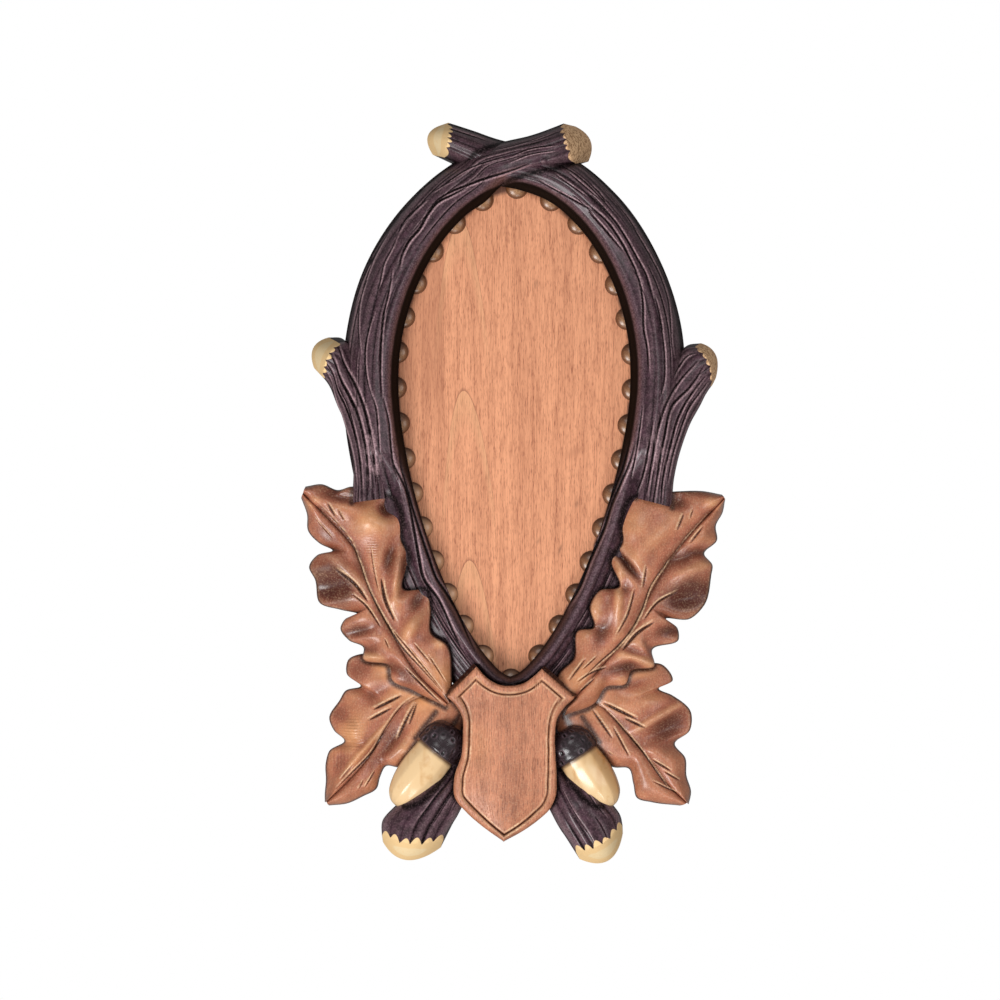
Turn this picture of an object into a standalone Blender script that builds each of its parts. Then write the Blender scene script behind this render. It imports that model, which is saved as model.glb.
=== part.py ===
"""A carved oak-leaf plaque that carries a small pair of antlers on a wall.

The plaque faces -Y, its flat back lies on y = 0 and +Z is up. The origin is on the back, on the panel's
centre line, half way up the plaque. Sizes are in metres. The free carving (the courses of the branches and
the outlines of the leaves, the shield and the acorns) is drawn as a carver's template is, in millimetres from
the origin: x to the right as one looks at the front, z up, and depth out from the wall.
"""
import math

import bmesh
import bpy
import numpy as np
from mathutils import Matrix

MM = 0.001

# The opening and the panel behind it
OPENING_WIDTH = 0.100
OPENING_TOP = 0.1305
OPENING_WIDEST = 0.049
OPENING_BOTTOM = -0.079
OPENING_LEAN = 0.0125
PANEL_THICKNESS = 0.009
PANEL_OVERLAP = 0.008
CLEARANCE = 0.0003
BEAD_DIAMETER = 0.0098
BEAD_RISE = 0.0024
BEAD_PITCH = 0.0152
BEAD_OFFSET = 0.0012
LIP_THICKNESS = 0.003

# The carved surround, as depths out from the wall. At the crossing a branch is raised by a share of its depth
BRANCH_DEPTH = 0.027
OVER_CROSSING = 0.04
UNDER_CROSSING = -0.10
TWIG_DEPTH = 0.022
STUB_DEPTH = 0.023
TWIG_EDGE = 0.62
STUB_EDGE = 0.45
LEAF_DEPTH = 0.019
LEAF_RELIEF = 0.0026
LEAF_BACK_GAP = 0.003
SHIELD_DEPTH = 0.0255
SHIELD_RIM = 0.0012
SHIELD_RIM_WIDTH = 0.0045
ACORN_DEPTH = 0.0125
NUT_DIAMETER = 0.019
CAP_DIAMETER = 0.0215
NUT_SEAT = 0.003
BARK_RELIEF = 0.0007
CUT_SLANT = 0.40
RIGHT_TWIG_SLANT = 0.24
BRANCH_DOME = 0.004
TWIG_DOME = 0.004
STUB_DOME = 0.007
BRANCH_UNDERCUT = 0.002
STEM_UNDERCUT = 0.0015
LEAF_UNDERCUT = 0.002

# How finely the carving is faceted
RING_STATIONS = 52
TWIG_STATIONS = 12
STUB_STATIONS = 12
LEAF_STATIONS = 38
PANEL_POINTS = 66
BEAD_SIDES = 8
BEAD_RINGS = 4

WALNUT_BROWN = (0.060, 0.038, 0.036, 1.0)
PANEL_BROWN = (0.680, 0.330, 0.190, 1.0)


def curve_through(points, at):
    """Cubic curve through the points; `at` holds places along it, from 0 at the first to 1 at the last."""
    points = np.asarray(points, float)
    chord = np.r_[0.0, np.cumsum(np.linalg.norm(np.diff(points, axis=0), axis=1))]
    slope = np.gradient(points, chord, axis=0)
    place = np.asarray(at, float) * chord[-1]
    span = np.clip(np.searchsorted(chord, place, side="right") - 1, 0, len(chord) - 2)
    length = (chord[span + 1] - chord[span])[:, None]
    s = ((place - chord[span]) / length[:, 0])[:, None]
    start = (1 + 2 * s) * (1 - s) ** 2 * points[span] + s * (1 - s) ** 2 * length * slope[span]
    end = s * s * (3 - 2 * s) * points[span + 1] + s * s * (s - 1) * length * slope[span + 1]
    return start + end


def smooth_step(low, high, value):
    """0 below `low`, 1 above `high` and an S-shaped rise between them."""
    share = np.clip((value - low) / (high - low), 0, 1)
    return share * share * (3 - 2 * share)


def opening_half_width(z):
    """Half the opening's width at the heights z: two rounded arcs that meet where it is widest."""
    up = np.clip((z - OPENING_WIDEST) / (OPENING_TOP - OPENING_WIDEST), 0, 1)
    down = np.clip((OPENING_WIDEST - z) / (OPENING_WIDEST - OPENING_BOTTOM), 0, 1)
    return OPENING_WIDTH / 2 * (1 - up ** 2) ** 0.6 * (1 - down ** 1.6) ** 0.7


def opening_middle(z):
    """The opening's middle at the heights z, which leans a little to the right towards the top."""
    return OPENING_LEAN * (z - (OPENING_WIDEST + OPENING_BOTTOM) / 2)


def opening_side(side, share):
    """Points down one side of the opening (side -1 is the left), from 0 at the top to 1 at the bottom."""
    turn = np.pi * np.linspace(0, 1, 401)
    z = (OPENING_TOP + OPENING_BOTTOM) / 2 + (OPENING_TOP - OPENING_BOTTOM) / 2 * np.cos(turn)
    x = opening_middle(z) + side * opening_half_width(z)
    run = np.r_[0.0, np.cumsum(np.hypot(np.diff(x), np.diff(z)))]
    return np.c_[np.interp(share, run / run[-1], x), np.interp(share, run / run[-1], z)]


def opening_outline(offset, count):
    """`count` evenly spaced points round the opening, moved outwards by `offset`."""
    right = opening_side(1, np.linspace(0, 1, 400))
    left = opening_side(-1, np.linspace(1, 0, 400))
    dense = np.vstack([right, left[1:-1]])
    run = np.r_[0.0, np.cumsum(np.linalg.norm(np.diff(np.vstack([dense, dense[:1]]), axis=0), axis=1))]
    at = np.linspace(0, run[-1], count, endpoint=False)
    closed = np.vstack([dense, dense[:1]])
    points = np.c_[np.interp(at, run, closed[:, 0]), np.interp(at, run, closed[:, 1])]
    along = np.roll(points, -1, axis=0) - np.roll(points, 1, axis=0)
    outwards = np.c_[-along[:, 1], along[:, 0]] / np.linalg.norm(along, axis=1)[:, None]
    return points + offset * outwards


def ring_row(side, share, width):
    """One row of a branch beside the opening: its outer edge, `width` mm out, and its inner edge."""
    before, here, after = opening_side(side, np.array([share - 0.01, share, share + 0.01]))
    along = (after - before) / np.linalg.norm(after - before)
    outwards = np.array([side * -along[1], side * along[0]])
    return (*(here / MM + width * outwards), *(here / MM))


def add_object(name, collection, mesh):
    """A new object in the collection."""
    made = bpy.data.objects.new(name, mesh)
    collection.objects.link(made)
    return made


def loft(name, collection, sections):
    """A closed solid through a row of closed sections: an array of rows, points round each, and x, y, z."""
    rows, around = sections.shape[:2]
    mesh = bpy.data.meshes.new(name)
    faces = []
    for row in range(rows - 1):
        for k in range(around):
            here, beside = row * around + k, row * around + (k + 1) % around
            faces.append((here, beside, beside + around, here + around))
    faces.append(tuple(range(around))[::-1])
    faces.append(tuple(range((rows - 1) * around, rows * around)))
    mesh.from_pydata(sections.reshape(-1, 3).tolist(), [], faces)
    shape = bmesh.new()
    shape.from_mesh(mesh)
    bmesh.ops.remove_doubles(shape, verts=shape.verts, dist=0.00002)
    bmesh.ops.dissolve_degenerate(shape, edges=shape.edges, dist=0.00002)
    bmesh.ops.triangulate(shape, faces=shape.faces)
    bmesh.ops.recalc_face_normals(shape, faces=shape.faces)
    shape.to_mesh(mesh)
    shape.free()
    return add_object(name, collection, mesh)


def strip(name, collection, outer, inner, across, depth, back_inset, slant, dome_height, slant_run):
    """A carved strip between two edges: `across` runs from 0 on the inner edge to 1 on the outer one, and
    depth(station, across) gives its front in metres. Its first end is a saw cut, domed by `dome_height`, that
    leans back by `slant` from the wall's side to the front. Both fade over the first `slant_run` of it."""
    stations = np.linspace(0, 1, len(outer))
    flat = inner[:, None, :] + (outer - inner)[:, None, :] * across[None, :, None]
    front = depth(stations[:, None], across[None, :])
    middle = (outer + inner) / 2
    along = np.gradient(middle, axis=0)
    along /= np.linalg.norm(along, axis=1)[:, None]
    width = np.linalg.norm(outer - inner, axis=1)
    toward = (inner - outer) / width[:, None]
    back_outer = outer + toward * np.minimum(back_inset, width / 4)[:, None]
    back_across = np.array([1.0, 0.75, 0.5, 0.25, 0.0])
    back = inner[:, None, :] + (back_outer - inner)[:, None, :] * back_across[None, :, None]
    plan = np.concatenate([flat, back], axis=1)
    reach = np.pad(front, ((0, 0), (0, len(back_across))))
    place = np.r_[across, back_across]
    dome = dome_height * 4 * place * (1 - place)
    shift = (slant * reach / front.max() - dome) * np.clip(1 - stations / slant_run, 0, 1)[:, None]
    plan = plan + shift[..., None] * along[:, None, :]
    return loft(name, collection, np.stack([plan[..., 0], -reach, plan[..., 1]], axis=-1))


def branch_depth(crossing):
    """Depth of a branch: a steep wall beside the opening, a crest, and a lower run beside the leaves. Bark
    ridges wander along it, fading out on the wall."""
    places = [0.0, 0.10, 0.20, 0.45, 0.70, 0.88, 1.0]
    lip = (PANEL_THICKNESS + BEAD_RISE + CLEARANCE + LIP_THICKNESS) / BRANCH_DEPTH
    upper = [lip, 0.78, 0.93, 1.0, 0.93, 0.72, 0.40]
    lower = [lip, 0.74, 0.80, 0.63, 0.57, 0.50, 0.40]

    def depth(station, across):
        down = smooth_step(0.58, 0.65, station)
        top = np.interp(across, places, upper) + crossing * smooth_step(0.22, 0.08, station)
        ridges = BARK_RELIEF / BRANCH_DEPTH * smooth_step(0.1, 0.3, across) \
            * np.cos(26 * across + 5 * np.sin(9 * station) + 3 * np.sin(23 * station))
        return BRANCH_DEPTH * ((1 - down) * top + down * np.interp(across, places, lower) + ridges)
    return depth


def round_depth(height, edge, sink):
    """Depth of a round stem: a half-round section from `edge` of its height at the sides, with bark ridges
    along it, which sinks by `sink` of its height away from its cut end."""
    def depth(station, across):
        bulge = edge + (1 - edge) * np.sqrt(np.clip(4 * across * (1 - across), 0, 1))
        ridges = BARK_RELIEF / height * np.cos(22 * across + 3 * station)
        return height * (bulge + ridges) * (1 - sink * smooth_step(0.25, 0.65, station))
    return depth


def stem(name, collection, rows, count, across, depth, back_inset, slant, dome_height, slant_run):
    """A branch, twig or stub from rows of (outer x, outer z, inner x, inner z) in millimetres."""
    edges = curve_through(rows, np.linspace(0, 1, count)) * MM
    return strip(name, collection, edges[:, :2], edges[:, 2:], across, depth, back_inset, slant, dome_height,
                 slant_run)


ACROSS_BRANCH = np.array([0.0, 0.10, 0.20, 0.32, 0.44, 0.56, 0.68, 0.80, 0.90, 1.0])
ACROSS_STEM = np.array([0.0, 0.12, 0.30, 0.50, 0.70, 0.88, 1.0])


def left_branch(collection):
    """Starts at its cut end at the top right, passes over the other branch and comes down the left side."""
    rows = [(26.5, 160.6, 32.8, 143.5), (8, 154, 18, 139), (-7, 150.5, 5, 136), (-19, 147, -5, 132)]
    widths = [(0.055, 21.5), (0.10, 21.5), (0.16, 22.5), (0.26, 24), (0.36, 24), (0.46, 24), (0.56, 24),
              (0.66, 23.5), (0.76, 22.5), (0.86, 20.5), (0.93, 18.5), (0.975, 18)]
    rows += [ring_row(-1, share, width) for share, width in widths]
    rows += [(5, -93.5, 2, -80)]
    return stem("left_branch", collection, rows, RING_STATIONS, ACROSS_BRANCH, branch_depth(OVER_CROSSING),
                BRANCH_UNDERCUT, CUT_SLANT * BRANCH_DEPTH, BRANCH_DOME, 0.12)


def right_branch(collection):
    """Starts at its cut end at the top left, passes under the other branch and comes down the right side."""
    rows = [(-31, 161, -34.5, 146.5), (-17, 156.4, -22, 140.5), (-4, 152, -8, 133), (10, 149, 3, 130.5)]
    widths = [(0.055, 21), (0.13, 21.5), (0.24, 22.5), (0.34, 23.5), (0.45, 23.5), (0.56, 23), (0.66, 23),
              (0.76, 22.5), (0.86, 20.5), (0.93, 19), (0.975, 18)]
    rows += [ring_row(1, share, width) for share, width in widths]
    rows += [(-8, -93.5, -5, -80)]
    return stem("right_branch", collection, rows, RING_STATIONS, ACROSS_BRANCH, branch_depth(UNDER_CROSSING),
                BRANCH_UNDERCUT, CUT_SLANT * BRANCH_DEPTH, BRANCH_DOME, 0.12)


def left_twig(collection):
    rows = [(-86.5, 53, -79.5, 67.5), (-80.5, 46.5, -73.5, 67), (-75, 37, -67, 57), (-71, 25, -61, 40),
            (-68.5, 12, -56.5, 20), (-69, -4, -54, -2)]
    depth = round_depth(TWIG_DEPTH, TWIG_EDGE, 0.0)
    return stem("left_twig", collection, rows, TWIG_STATIONS, ACROSS_STEM, depth,
                STEM_UNDERCUT, CUT_SLANT * TWIG_DEPTH, TWIG_DOME, 0.6)


def right_twig(collection):
    rows = [(88.5, 48.5, 81.5, 65), (83.5, 41.5, 75.5, 64), (78, 33, 69, 56), (73, 21, 62, 40),
            (69.5, 7, 57, 20), (68.5, -6, 53, -2)]
    depth = round_depth(TWIG_DEPTH, TWIG_EDGE, 0.0)
    return stem("right_twig", collection, rows, TWIG_STATIONS, ACROSS_STEM, depth,
                STEM_UNDERCUT, RIGHT_TWIG_SLANT * TWIG_DEPTH, TWIG_DOME, 0.6)


def left_stub(collection):
    rows = [(-57.5, -150.5, -31, -153), (-56.5, -142, -26, -143), (-49, -133, -21, -133),
            (-36, -118, -12, -119), (-27, -102, -3, -101), (-18, -88, 7, -89)]
    depth = round_depth(STUB_DEPTH, STUB_EDGE, 0.45)
    return stem("left_stub", collection, rows, STUB_STATIONS, ACROSS_STEM, depth,
                STEM_UNDERCUT, CUT_SLANT * STUB_DEPTH, STUB_DOME, 0.35)


def right_stub(collection):
    rows = [(49, -146, 29, -158), (47, -139.5, 23, -148.5), (40, -130, 17, -138), (33, -117, 9, -122),
            (26, -102, 0, -104), (18, -88, -8, -89)]
    depth = round_depth(STUB_DEPTH, STUB_EDGE, 0.45)
    return stem("right_stub", collection, rows, STUB_STATIONS, ACROSS_STEM, depth,
                STEM_UNDERCUT, CUT_SLANT * STUB_DEPTH, STUB_DOME, 0.35)


def leaf(name, collection, midrib, outer, inner, depths):
    """An oak leaf: `midrib` is its course from stalk to tip, and `outer` and `inner` are its two lobed edges
    as (share of the midrib, x, z). Each section runs straight from an edge to the midrib and on to the other.
    `depths` gives the front at the stalk, at the tip, and how much the inner and outer edges add to it."""
    dense = np.linspace(0, 1, 500)

    def edge(points, share):
        points = np.asarray(points, float)
        chord = np.r_[0.0, np.cumsum(np.linalg.norm(np.diff(points[:, 1:], axis=0), axis=1))]
        return curve_through(points[:, 1:], np.interp(share, points[:, 0], chord / chord[-1]))

    steps = sum(np.linalg.norm(np.diff(edge(points, dense), axis=0), axis=1) for points in (outer, inner))
    run = np.r_[0.0, np.cumsum(steps)]
    share = np.interp(np.linspace(0, 1, LEAF_STATIONS), run / run[-1], dense)
    middle = curve_through(midrib, share)
    stalk, tip, inner_rise, outer_rise = depths
    across = np.array([-1.0, -0.72, -0.38, -0.09, 0.0, 0.09, 0.38, 0.72, 1.0])
    far = np.abs(across)[None, :]
    ends = np.where(across[None, :, None] < 0, edge(inner, share)[:, None], edge(outer, share)[:, None])
    plan = middle[:, None] + (ends - middle[:, None]) * far[..., None]
    reach = np.linalg.norm(ends - middle[:, None], axis=2)
    wide = np.maximum.accumulate(reach, axis=0)[-1][None, :]
    notch = np.clip(1 - reach / (0.75 * wide), 0, 1)
    rise = np.where(across[None, :] < 0, inner_rise, outer_rise) * far
    crown = np.sin(np.pi * far ** 0.8) - 0.9 * far ** 3 - 0.55 * (far < 0.05) - notch * far
    front = LEAF_DEPTH / MM * (stalk + (tip - stalk) * share[:, None]) + rise + LEAF_RELIEF / MM * crown
    under = LEAF_BACK_GAP / MM + 0 * front[:, :1]
    inset = 1 - LEAF_UNDERCUT / MM / np.maximum(reach, 3 * LEAF_UNDERCUT / MM)
    back_inner = middle + (ends[:, 0] - middle) * inset[:, :1]
    back_outer = middle + (ends[:, -1] - middle) * inset[:, -1:]
    plan = np.concatenate([back_inner[:, None], plan, back_outer[:, None], middle[:, None]], axis=1)
    reach_out = np.concatenate([under, front, under, under], axis=1)
    return loft(name, collection, np.stack([plan[..., 0], -reach_out, plan[..., 1]], axis=-1) * MM)


def left_upper_leaf(collection):
    midrib = [(-28, -90), (-42, -76), (-52.5, -58.5), (-61, -41.5), (-67.5, -24.5), (-78.5, -11.5), (-90, 0)]
    outer = [(0, -29, -92), (0.10, -43, -85), (0.2, -52.5, -80), (0.24, -53.5, -74.5), (0.31, -64.5, -71),
             (0.335, -64, -66.5), (0.385, -70.5, -63), (0.42, -74, -58), (0.46, -72, -54), (0.50, -66.5, -52),
             (0.53, -74, -50), (0.57, -83, -47), (0.61, -85, -37), (0.65, -87.5, -31.5), (0.68, -84, -26.5),
             (0.71, -77.5, -24.5), (0.77, -83, -21.5), (0.84, -88, -16), (0.93, -88.5, -9), (1, -91, -2)]
    inner = [(0, -26, -89), (0.1, -26, -78), (0.2, -28, -65), (0.25, -34.5, -60), (0.37, -35, -49),
             (0.41, -36.5, -41.5), (0.47, -46.5, -41), (0.57, -44.5, -26), (0.61, -47.5, -20),
             (0.68, -47.5, -10), (0.76, -51, -2), (0.86, -61, 0), (0.91, -69, 3), (0.945, -75, 1.5),
             (0.975, -82, 4), (1, -89, 3)]
    return leaf("left_upper_leaf", collection, midrib, outer, inner, (0.95, 0.80, 3.0, -1.0))


def left_lower_leaf(collection):
    midrib = [(-30, -84), (-46, -91), (-55, -103), (-62.5, -114.5), (-71.5, -124.5), (-80, -132.5)]
    outer = [(0, -36, -78), (0.15, -62, -68.5), (0.21, -71, -72), (0.25, -71.5, -77.5), (0.30, -65.5, -83),
             (0.35, -72, -85), (0.40, -74.5, -89), (0.46, -79, -97), (0.51, -77, -102), (0.55, -72.5, -106.5),
             (0.60, -79, -111), (0.68, -80.5, -116), (0.80, -80.5, -124), (0.9, -81, -130), (1, -81, -133)]
    inner = [(0, -17, -91), (0.2, -22, -103), (0.4, -34, -113), (0.54, -49, -118), (0.60, -54.5, -117.5),
             (0.66, -57, -122), (0.74, -58.5, -127), (0.82, -64.5, -130.5), (0.9, -71, -133.5),
             (1, -79, -134.5)]
    return leaf("left_lower_leaf", collection, midrib, outer, inner, (0.64, 0.60, 0.5, -1.0))


def right_upper_leaf(collection):
    midrib = [(24, -91), (38.5, -74), (51.5, -58.5), (60, -41.5), (71, -24), (91, -2)]
    outer = [(0, 22, -96), (0.12, 36, -90), (0.2, 40, -84), (0.26, 49, -82), (0.3, 51, -77), (0.36, 61, -74),
             (0.40, 60, -67.5), (0.45, 71.5, -62.5), (0.475, 71, -58), (0.50, 66, -54), (0.545, 76, -54),
             (0.60, 82.5, -48), (0.66, 85.5, -35), (0.70, 86, -31), (0.74, 82.5, -26), (0.79, 88, -20),
             (0.84, 87.5, -14), (0.91, 90.5, -8), (1, 91.5, -3)]
    inner = [(0, 17, -86), (0.12, 20, -77), (0.2, 26, -71), (0.26, 28, -58.5), (0.34, 34.5, -57.5),
             (0.41, 33, -48), (0.46, 37, -41.5), (0.51, 45.5, -40), (0.56, 42, -28), (0.61, 47, -21),
             (0.66, 46.5, -12), (0.73, 50.5, -2.5), (0.81, 61, 0), (0.88, 72, 1), (0.95, 82, 1),
             (1, 90, -0.5)]
    return leaf("right_upper_leaf", collection, midrib, outer, inner, (0.95, 0.80, 3.0, -1.0))


def right_lower_leaf(collection):
    midrib = [(24, -84), (40, -93), (51.5, -106), (59.5, -115), (67, -125.5), (75, -133)]
    outer = [(0, 34, -78), (0.13, 56, -73), (0.18, 65, -74), (0.22, 69, -80.5), (0.265, 63, -84),
             (0.33, 69, -87), (0.43, 77, -94.5), (0.54, 76.5, -102), (0.60, 70, -108), (0.66, 74.5, -114),
             (0.78, 75, -121.5), (0.9, 77, -129), (1, 76, -134)]
    inner = [(0, 12, -93), (0.2, 19, -105), (0.4, 35, -115), (0.5, 44, -118), (0.56, 50, -118.5),
             (0.64, 52, -125), (0.73, 53.5, -131), (0.83, 60, -133), (1, 72, -134.5)]
    return leaf("right_lower_leaf", collection, midrib, outer, inner, (0.64, 0.62, 0.5, -1.0))


def shield(collection):
    """A heater shield with a hollow top edge, waisted sides and a raised rim inside a cut line. Each row runs
    from the left edge to the right one, bent by the top edge's own shape, which fades towards the point."""
    left_corner, left_peak, right_peak, right_corner = (-28, -87), (-15.5, -74), (12.5, -75), (26.5, -87.5)
    hollow = [left_peak, (-10.8, -79), (-6, -81.7), (-1.2, -82.3), (4.8, -81.1), (9.5, -77.8), right_peak]
    columns = np.linspace(0, 1, 15)
    top = np.concatenate([curve_through([left_corner, left_peak], np.linspace(0, 1, 4)[:-1]),
                          curve_through(hollow, np.linspace(0, 1, 9)),
                          curve_through([right_peak, right_corner], np.linspace(0, 1, 4)[1:])]) * MM
    side_at = np.array([0, 0.04, 0.09, 0.2, 0.35, 0.5, 0.62, 0.72, 0.82, 0.91, 0.97, 1.0])
    point = (-4, -149)
    left = curve_through([left_corner, (-24.6, -90.4), (-21.6, -95.8), (-21.3, -103), (-21.8, -111.4),
                          (-25, -122), (-24.6, -130.5), (-19.8, -136.5), (-13, -142.5), point], side_at) * MM
    right = curve_through([right_corner, (22.7, -91), (19.1, -96.4), (18.2, -103), (18.3, -112), (18.8, -121),
                           (18.3, -130), (16, -135), (10.8, -140), (4.8, -144.3), (-3.6, -149)], side_at) * MM
    straight = top[0] + (top[-1] - top[0]) * columns[:, None]
    bend = (top - straight)[None, :, :] * ((1 - side_at) ** 1.5)[:, None, None]
    rows = left[:, None, :] + (right - left)[:, None, :] * columns[None, :, None] + bend
    width = np.linalg.norm(right - left, axis=1)[:, None]
    from_side = np.minimum(columns, 1 - columns)[None, :] * width
    from_top = np.abs(rows[..., 1] - rows[:1, :, 1])
    rim = smooth_step(SHIELD_RIM_WIDTH, 0.6 * SHIELD_RIM_WIDTH, np.minimum(from_side, from_top))
    crown = 1 - 0.12 * (2 * columns[None, :] - 1) ** 2 - 0.10 * side_at[:, None] ** 2
    front = SHIELD_DEPTH * crown + SHIELD_RIM * rim
    flat = np.stack([rows[..., 0], -front, rows[..., 1]], axis=-1)
    back = np.stack([rows[:, [-1, 0], 0], np.zeros((len(side_at), 2)), rows[:, [-1, 0], 1]], axis=-1)
    back_row = np.stack([rows[..., 0], 0 * front, rows[..., 1]], axis=-1)[:1]
    sections = np.concatenate([flat, back], axis=1)
    cap = np.concatenate([back_row, back_row[:, [-1, 0]]], axis=1)
    return loft("shield", collection, np.concatenate([cap, sections], axis=0))


def turned(name, collection, profile, sides, foot, tip):
    """A turned shape: `profile` gives (radius, share of the length from foot to tip) in metres and shares."""
    foot, tip = np.asarray(foot, float), np.asarray(tip, float)
    axis = tip - foot
    length = np.linalg.norm(axis)
    along = axis / length
    across = np.cross(along, (0.0, 1.0, 0.0))
    across /= np.linalg.norm(across)
    third = np.cross(along, across)
    angle = 2 * np.pi * (np.arange(sides) + 0.5) / sides
    ring = np.cos(angle)[:, None] * across + np.sin(angle)[:, None] * third
    rows = [foot + along * length * share + radius * ring for radius, share in profile]
    return loft(name, collection, np.array(rows))


def acorn(side, collection, foot, cap_end, tip):
    """A cap and a nut on one axis, given by (x, z) in millimetres, as two overlapping turned shapes."""
    depth = -ACORN_DEPTH
    foot, cap_end, tip = [(x * MM, depth, z * MM) for x, z in (foot, cap_end, tip)]
    cap_profile = [(CAP_DIAMETER / 2 * radius, share) for radius, share in
                   [(0.30, 0.0), (0.68, 0.12), (0.92, 0.38), (1.0, 0.70), (0.96, 1.0)]]
    nut_profile = [(NUT_DIAMETER / 2 * radius, share) for radius, share in
                   [(0.80, 0.0), (1.0, 0.22), (1.0, 0.45), (0.84, 0.68), (0.50, 0.88), (0.14, 1.0)]]
    cap = turned(side + "_cap", collection, cap_profile, 12, foot, cap_end)
    toward_foot = np.subtract(foot, cap_end) / np.linalg.norm(np.subtract(foot, cap_end))
    inside_cap = np.asarray(cap_end) + NUT_SEAT * toward_foot
    nut = turned(side + "_nut", collection, nut_profile, 10, inside_cap, tip)
    return [cap, nut]


def flat_board(name, collection, outline, back, front):
    """A flat outline as a filled 2D curve, given a thickness from depth `back` to depth `front`."""
    curve = bpy.data.curves.new(name, "CURVE")
    curve.dimensions = "2D"
    curve.fill_mode = "BOTH"
    curve.extrude = (front - back) / 2
    line = curve.splines.new("POLY")
    line.points.add(len(outline) - 1)
    line.points.foreach_set("co", np.c_[outline, np.zeros(len(outline)), np.ones(len(outline))].ravel())
    line.use_cyclic_u = True
    holder = add_object(name + "_outline", collection, curve)
    holder.rotation_euler = (math.pi / 2, 0, 0)
    holder.location = (0, -(front + back) / 2, 0)
    bpy.context.view_layer.update()
    mesh = bpy.data.meshes.new_from_object(holder.evaluated_get(bpy.context.evaluated_depsgraph_get()))
    mesh.transform(holder.matrix_world)
    shape = bmesh.new()
    shape.from_mesh(mesh)
    bmesh.ops.remove_doubles(shape, verts=shape.verts, dist=0.00001)
    bmesh.ops.recalc_face_normals(shape, faces=shape.faces)
    shape.to_mesh(mesh)
    shape.free()
    bpy.data.objects.remove(holder)
    return add_object(name, collection, mesh)


def boolean(target, operation, tool):
    """Joins the tool to the target (UNION) or cuts it out of it (DIFFERENCE)."""
    step = target.modifiers.new(operation.lower() + "_" + tool.name, "BOOLEAN")
    step.operation = operation
    step.solver = "EXACT"
    step.object = tool


def wood(name, colour, roughness):
    """Stained and lacquered wood."""
    made = bpy.data.materials.new(name)
    made.use_nodes = True
    shader = made.node_tree.nodes["Principled BSDF"]
    shader.inputs["Base Color"].default_value = colour
    shader.inputs["Roughness"].default_value = roughness
    shader.inputs["Metallic"].default_value = 0.0
    return made


def carved_surround(collection, cutters):
    """Everything carved from the one board, joined, with the panel's rebate cut into its back."""
    body = left_branch(collection)
    body.name = "carved_surround"
    carved = [right_branch(cutters), left_twig(cutters), right_twig(cutters), left_stub(cutters),
              right_stub(cutters), left_lower_leaf(cutters), right_lower_leaf(cutters),
              left_upper_leaf(cutters), right_upper_leaf(cutters), shield(cutters)]
    carved += acorn("left", cutters, (-24.5, -100.5), (-33, -111), (-50.5, -134))
    carved += acorn("right", cutters, (21, -102), (28, -113), (43, -134.5))
    for piece in carved:
        boolean(body, "UNION", piece)
    rebate_depth = PANEL_THICKNESS + BEAD_RISE + CLEARANCE
    rebate_outline = opening_outline(PANEL_OVERLAP + CLEARANCE, PANEL_POINTS)
    rebate = flat_board("panel_rebate", cutters, rebate_outline, -PANEL_THICKNESS, rebate_depth)
    boolean(body, "DIFFERENCE", rebate)
    body.data.materials.append(wood("walnut_stained_wood", WALNUT_BROWN, 0.5))
    return body


def back_panel(collection, cutters):
    """The flat board in the rebate, with flattened beads along its rim, each a little more than half under
    the lip."""
    outline = opening_outline(PANEL_OVERLAP, PANEL_POINTS)
    board = flat_board("back_panel", collection, outline, 0.0, PANEL_THICKNESS)
    around = 2 * np.linalg.norm(np.diff(opening_side(1, np.linspace(0, 1, 200)), axis=0), axis=1).sum()
    count = round(around / BEAD_PITCH)
    forwards = Matrix.Rotation(math.pi / 2, 3, "X")
    shape = bmesh.new()
    for x, z in opening_outline(BEAD_OFFSET, count):
        made = bmesh.ops.create_uvsphere(shape, u_segments=BEAD_SIDES, v_segments=BEAD_RINGS,
                                         radius=BEAD_DIAMETER / 2)
        bmesh.ops.rotate(shape, verts=made["verts"], cent=(0, 0, 0), matrix=forwards)
        bmesh.ops.scale(shape, verts=made["verts"], vec=(1, 2 * BEAD_RISE / BEAD_DIAMETER, 1))
        bmesh.ops.translate(shape, verts=made["verts"], vec=(x, -PANEL_THICKNESS, z))
    mesh = bpy.data.meshes.new("beads")
    shape.to_mesh(mesh)
    shape.free()
    boolean(board, "UNION", add_object("beads", cutters, mesh))
    board.data.materials.append(wood("panel_wood", PANEL_BROWN, 0.45))
    return board


def main():
    for item in list(bpy.data.objects):
        bpy.data.objects.remove(item)
    plaque = bpy.data.collections.new("antler_plaque")
    cutters = bpy.data.collections.new("cutters")
    bpy.context.scene.collection.children.link(plaque)
    bpy.context.scene.collection.children.link(cutters)
    carved_surround(plaque, cutters)
    back_panel(plaque, cutters)
    for tool in cutters.objects:
        tool.hide_render = True
        tool.display_type = "WIRE"


main()
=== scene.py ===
# %% [markdown]
# # An antler mounting plaque, carved in wood and stained by hand
# Two crossed branches ring an opening. Oak leaves, two acorns and a small shield fill the ring's foot,
# and a pale panel with a beaded rim closes the opening behind it. A small pair of antlers would be
# screwed to that panel. Everything round the opening is one carved board, and the panel is a second board
# in its back. The frame gives both boards as plain faceted solids. This lesson lays the carver's finer
# work over them.

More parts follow.
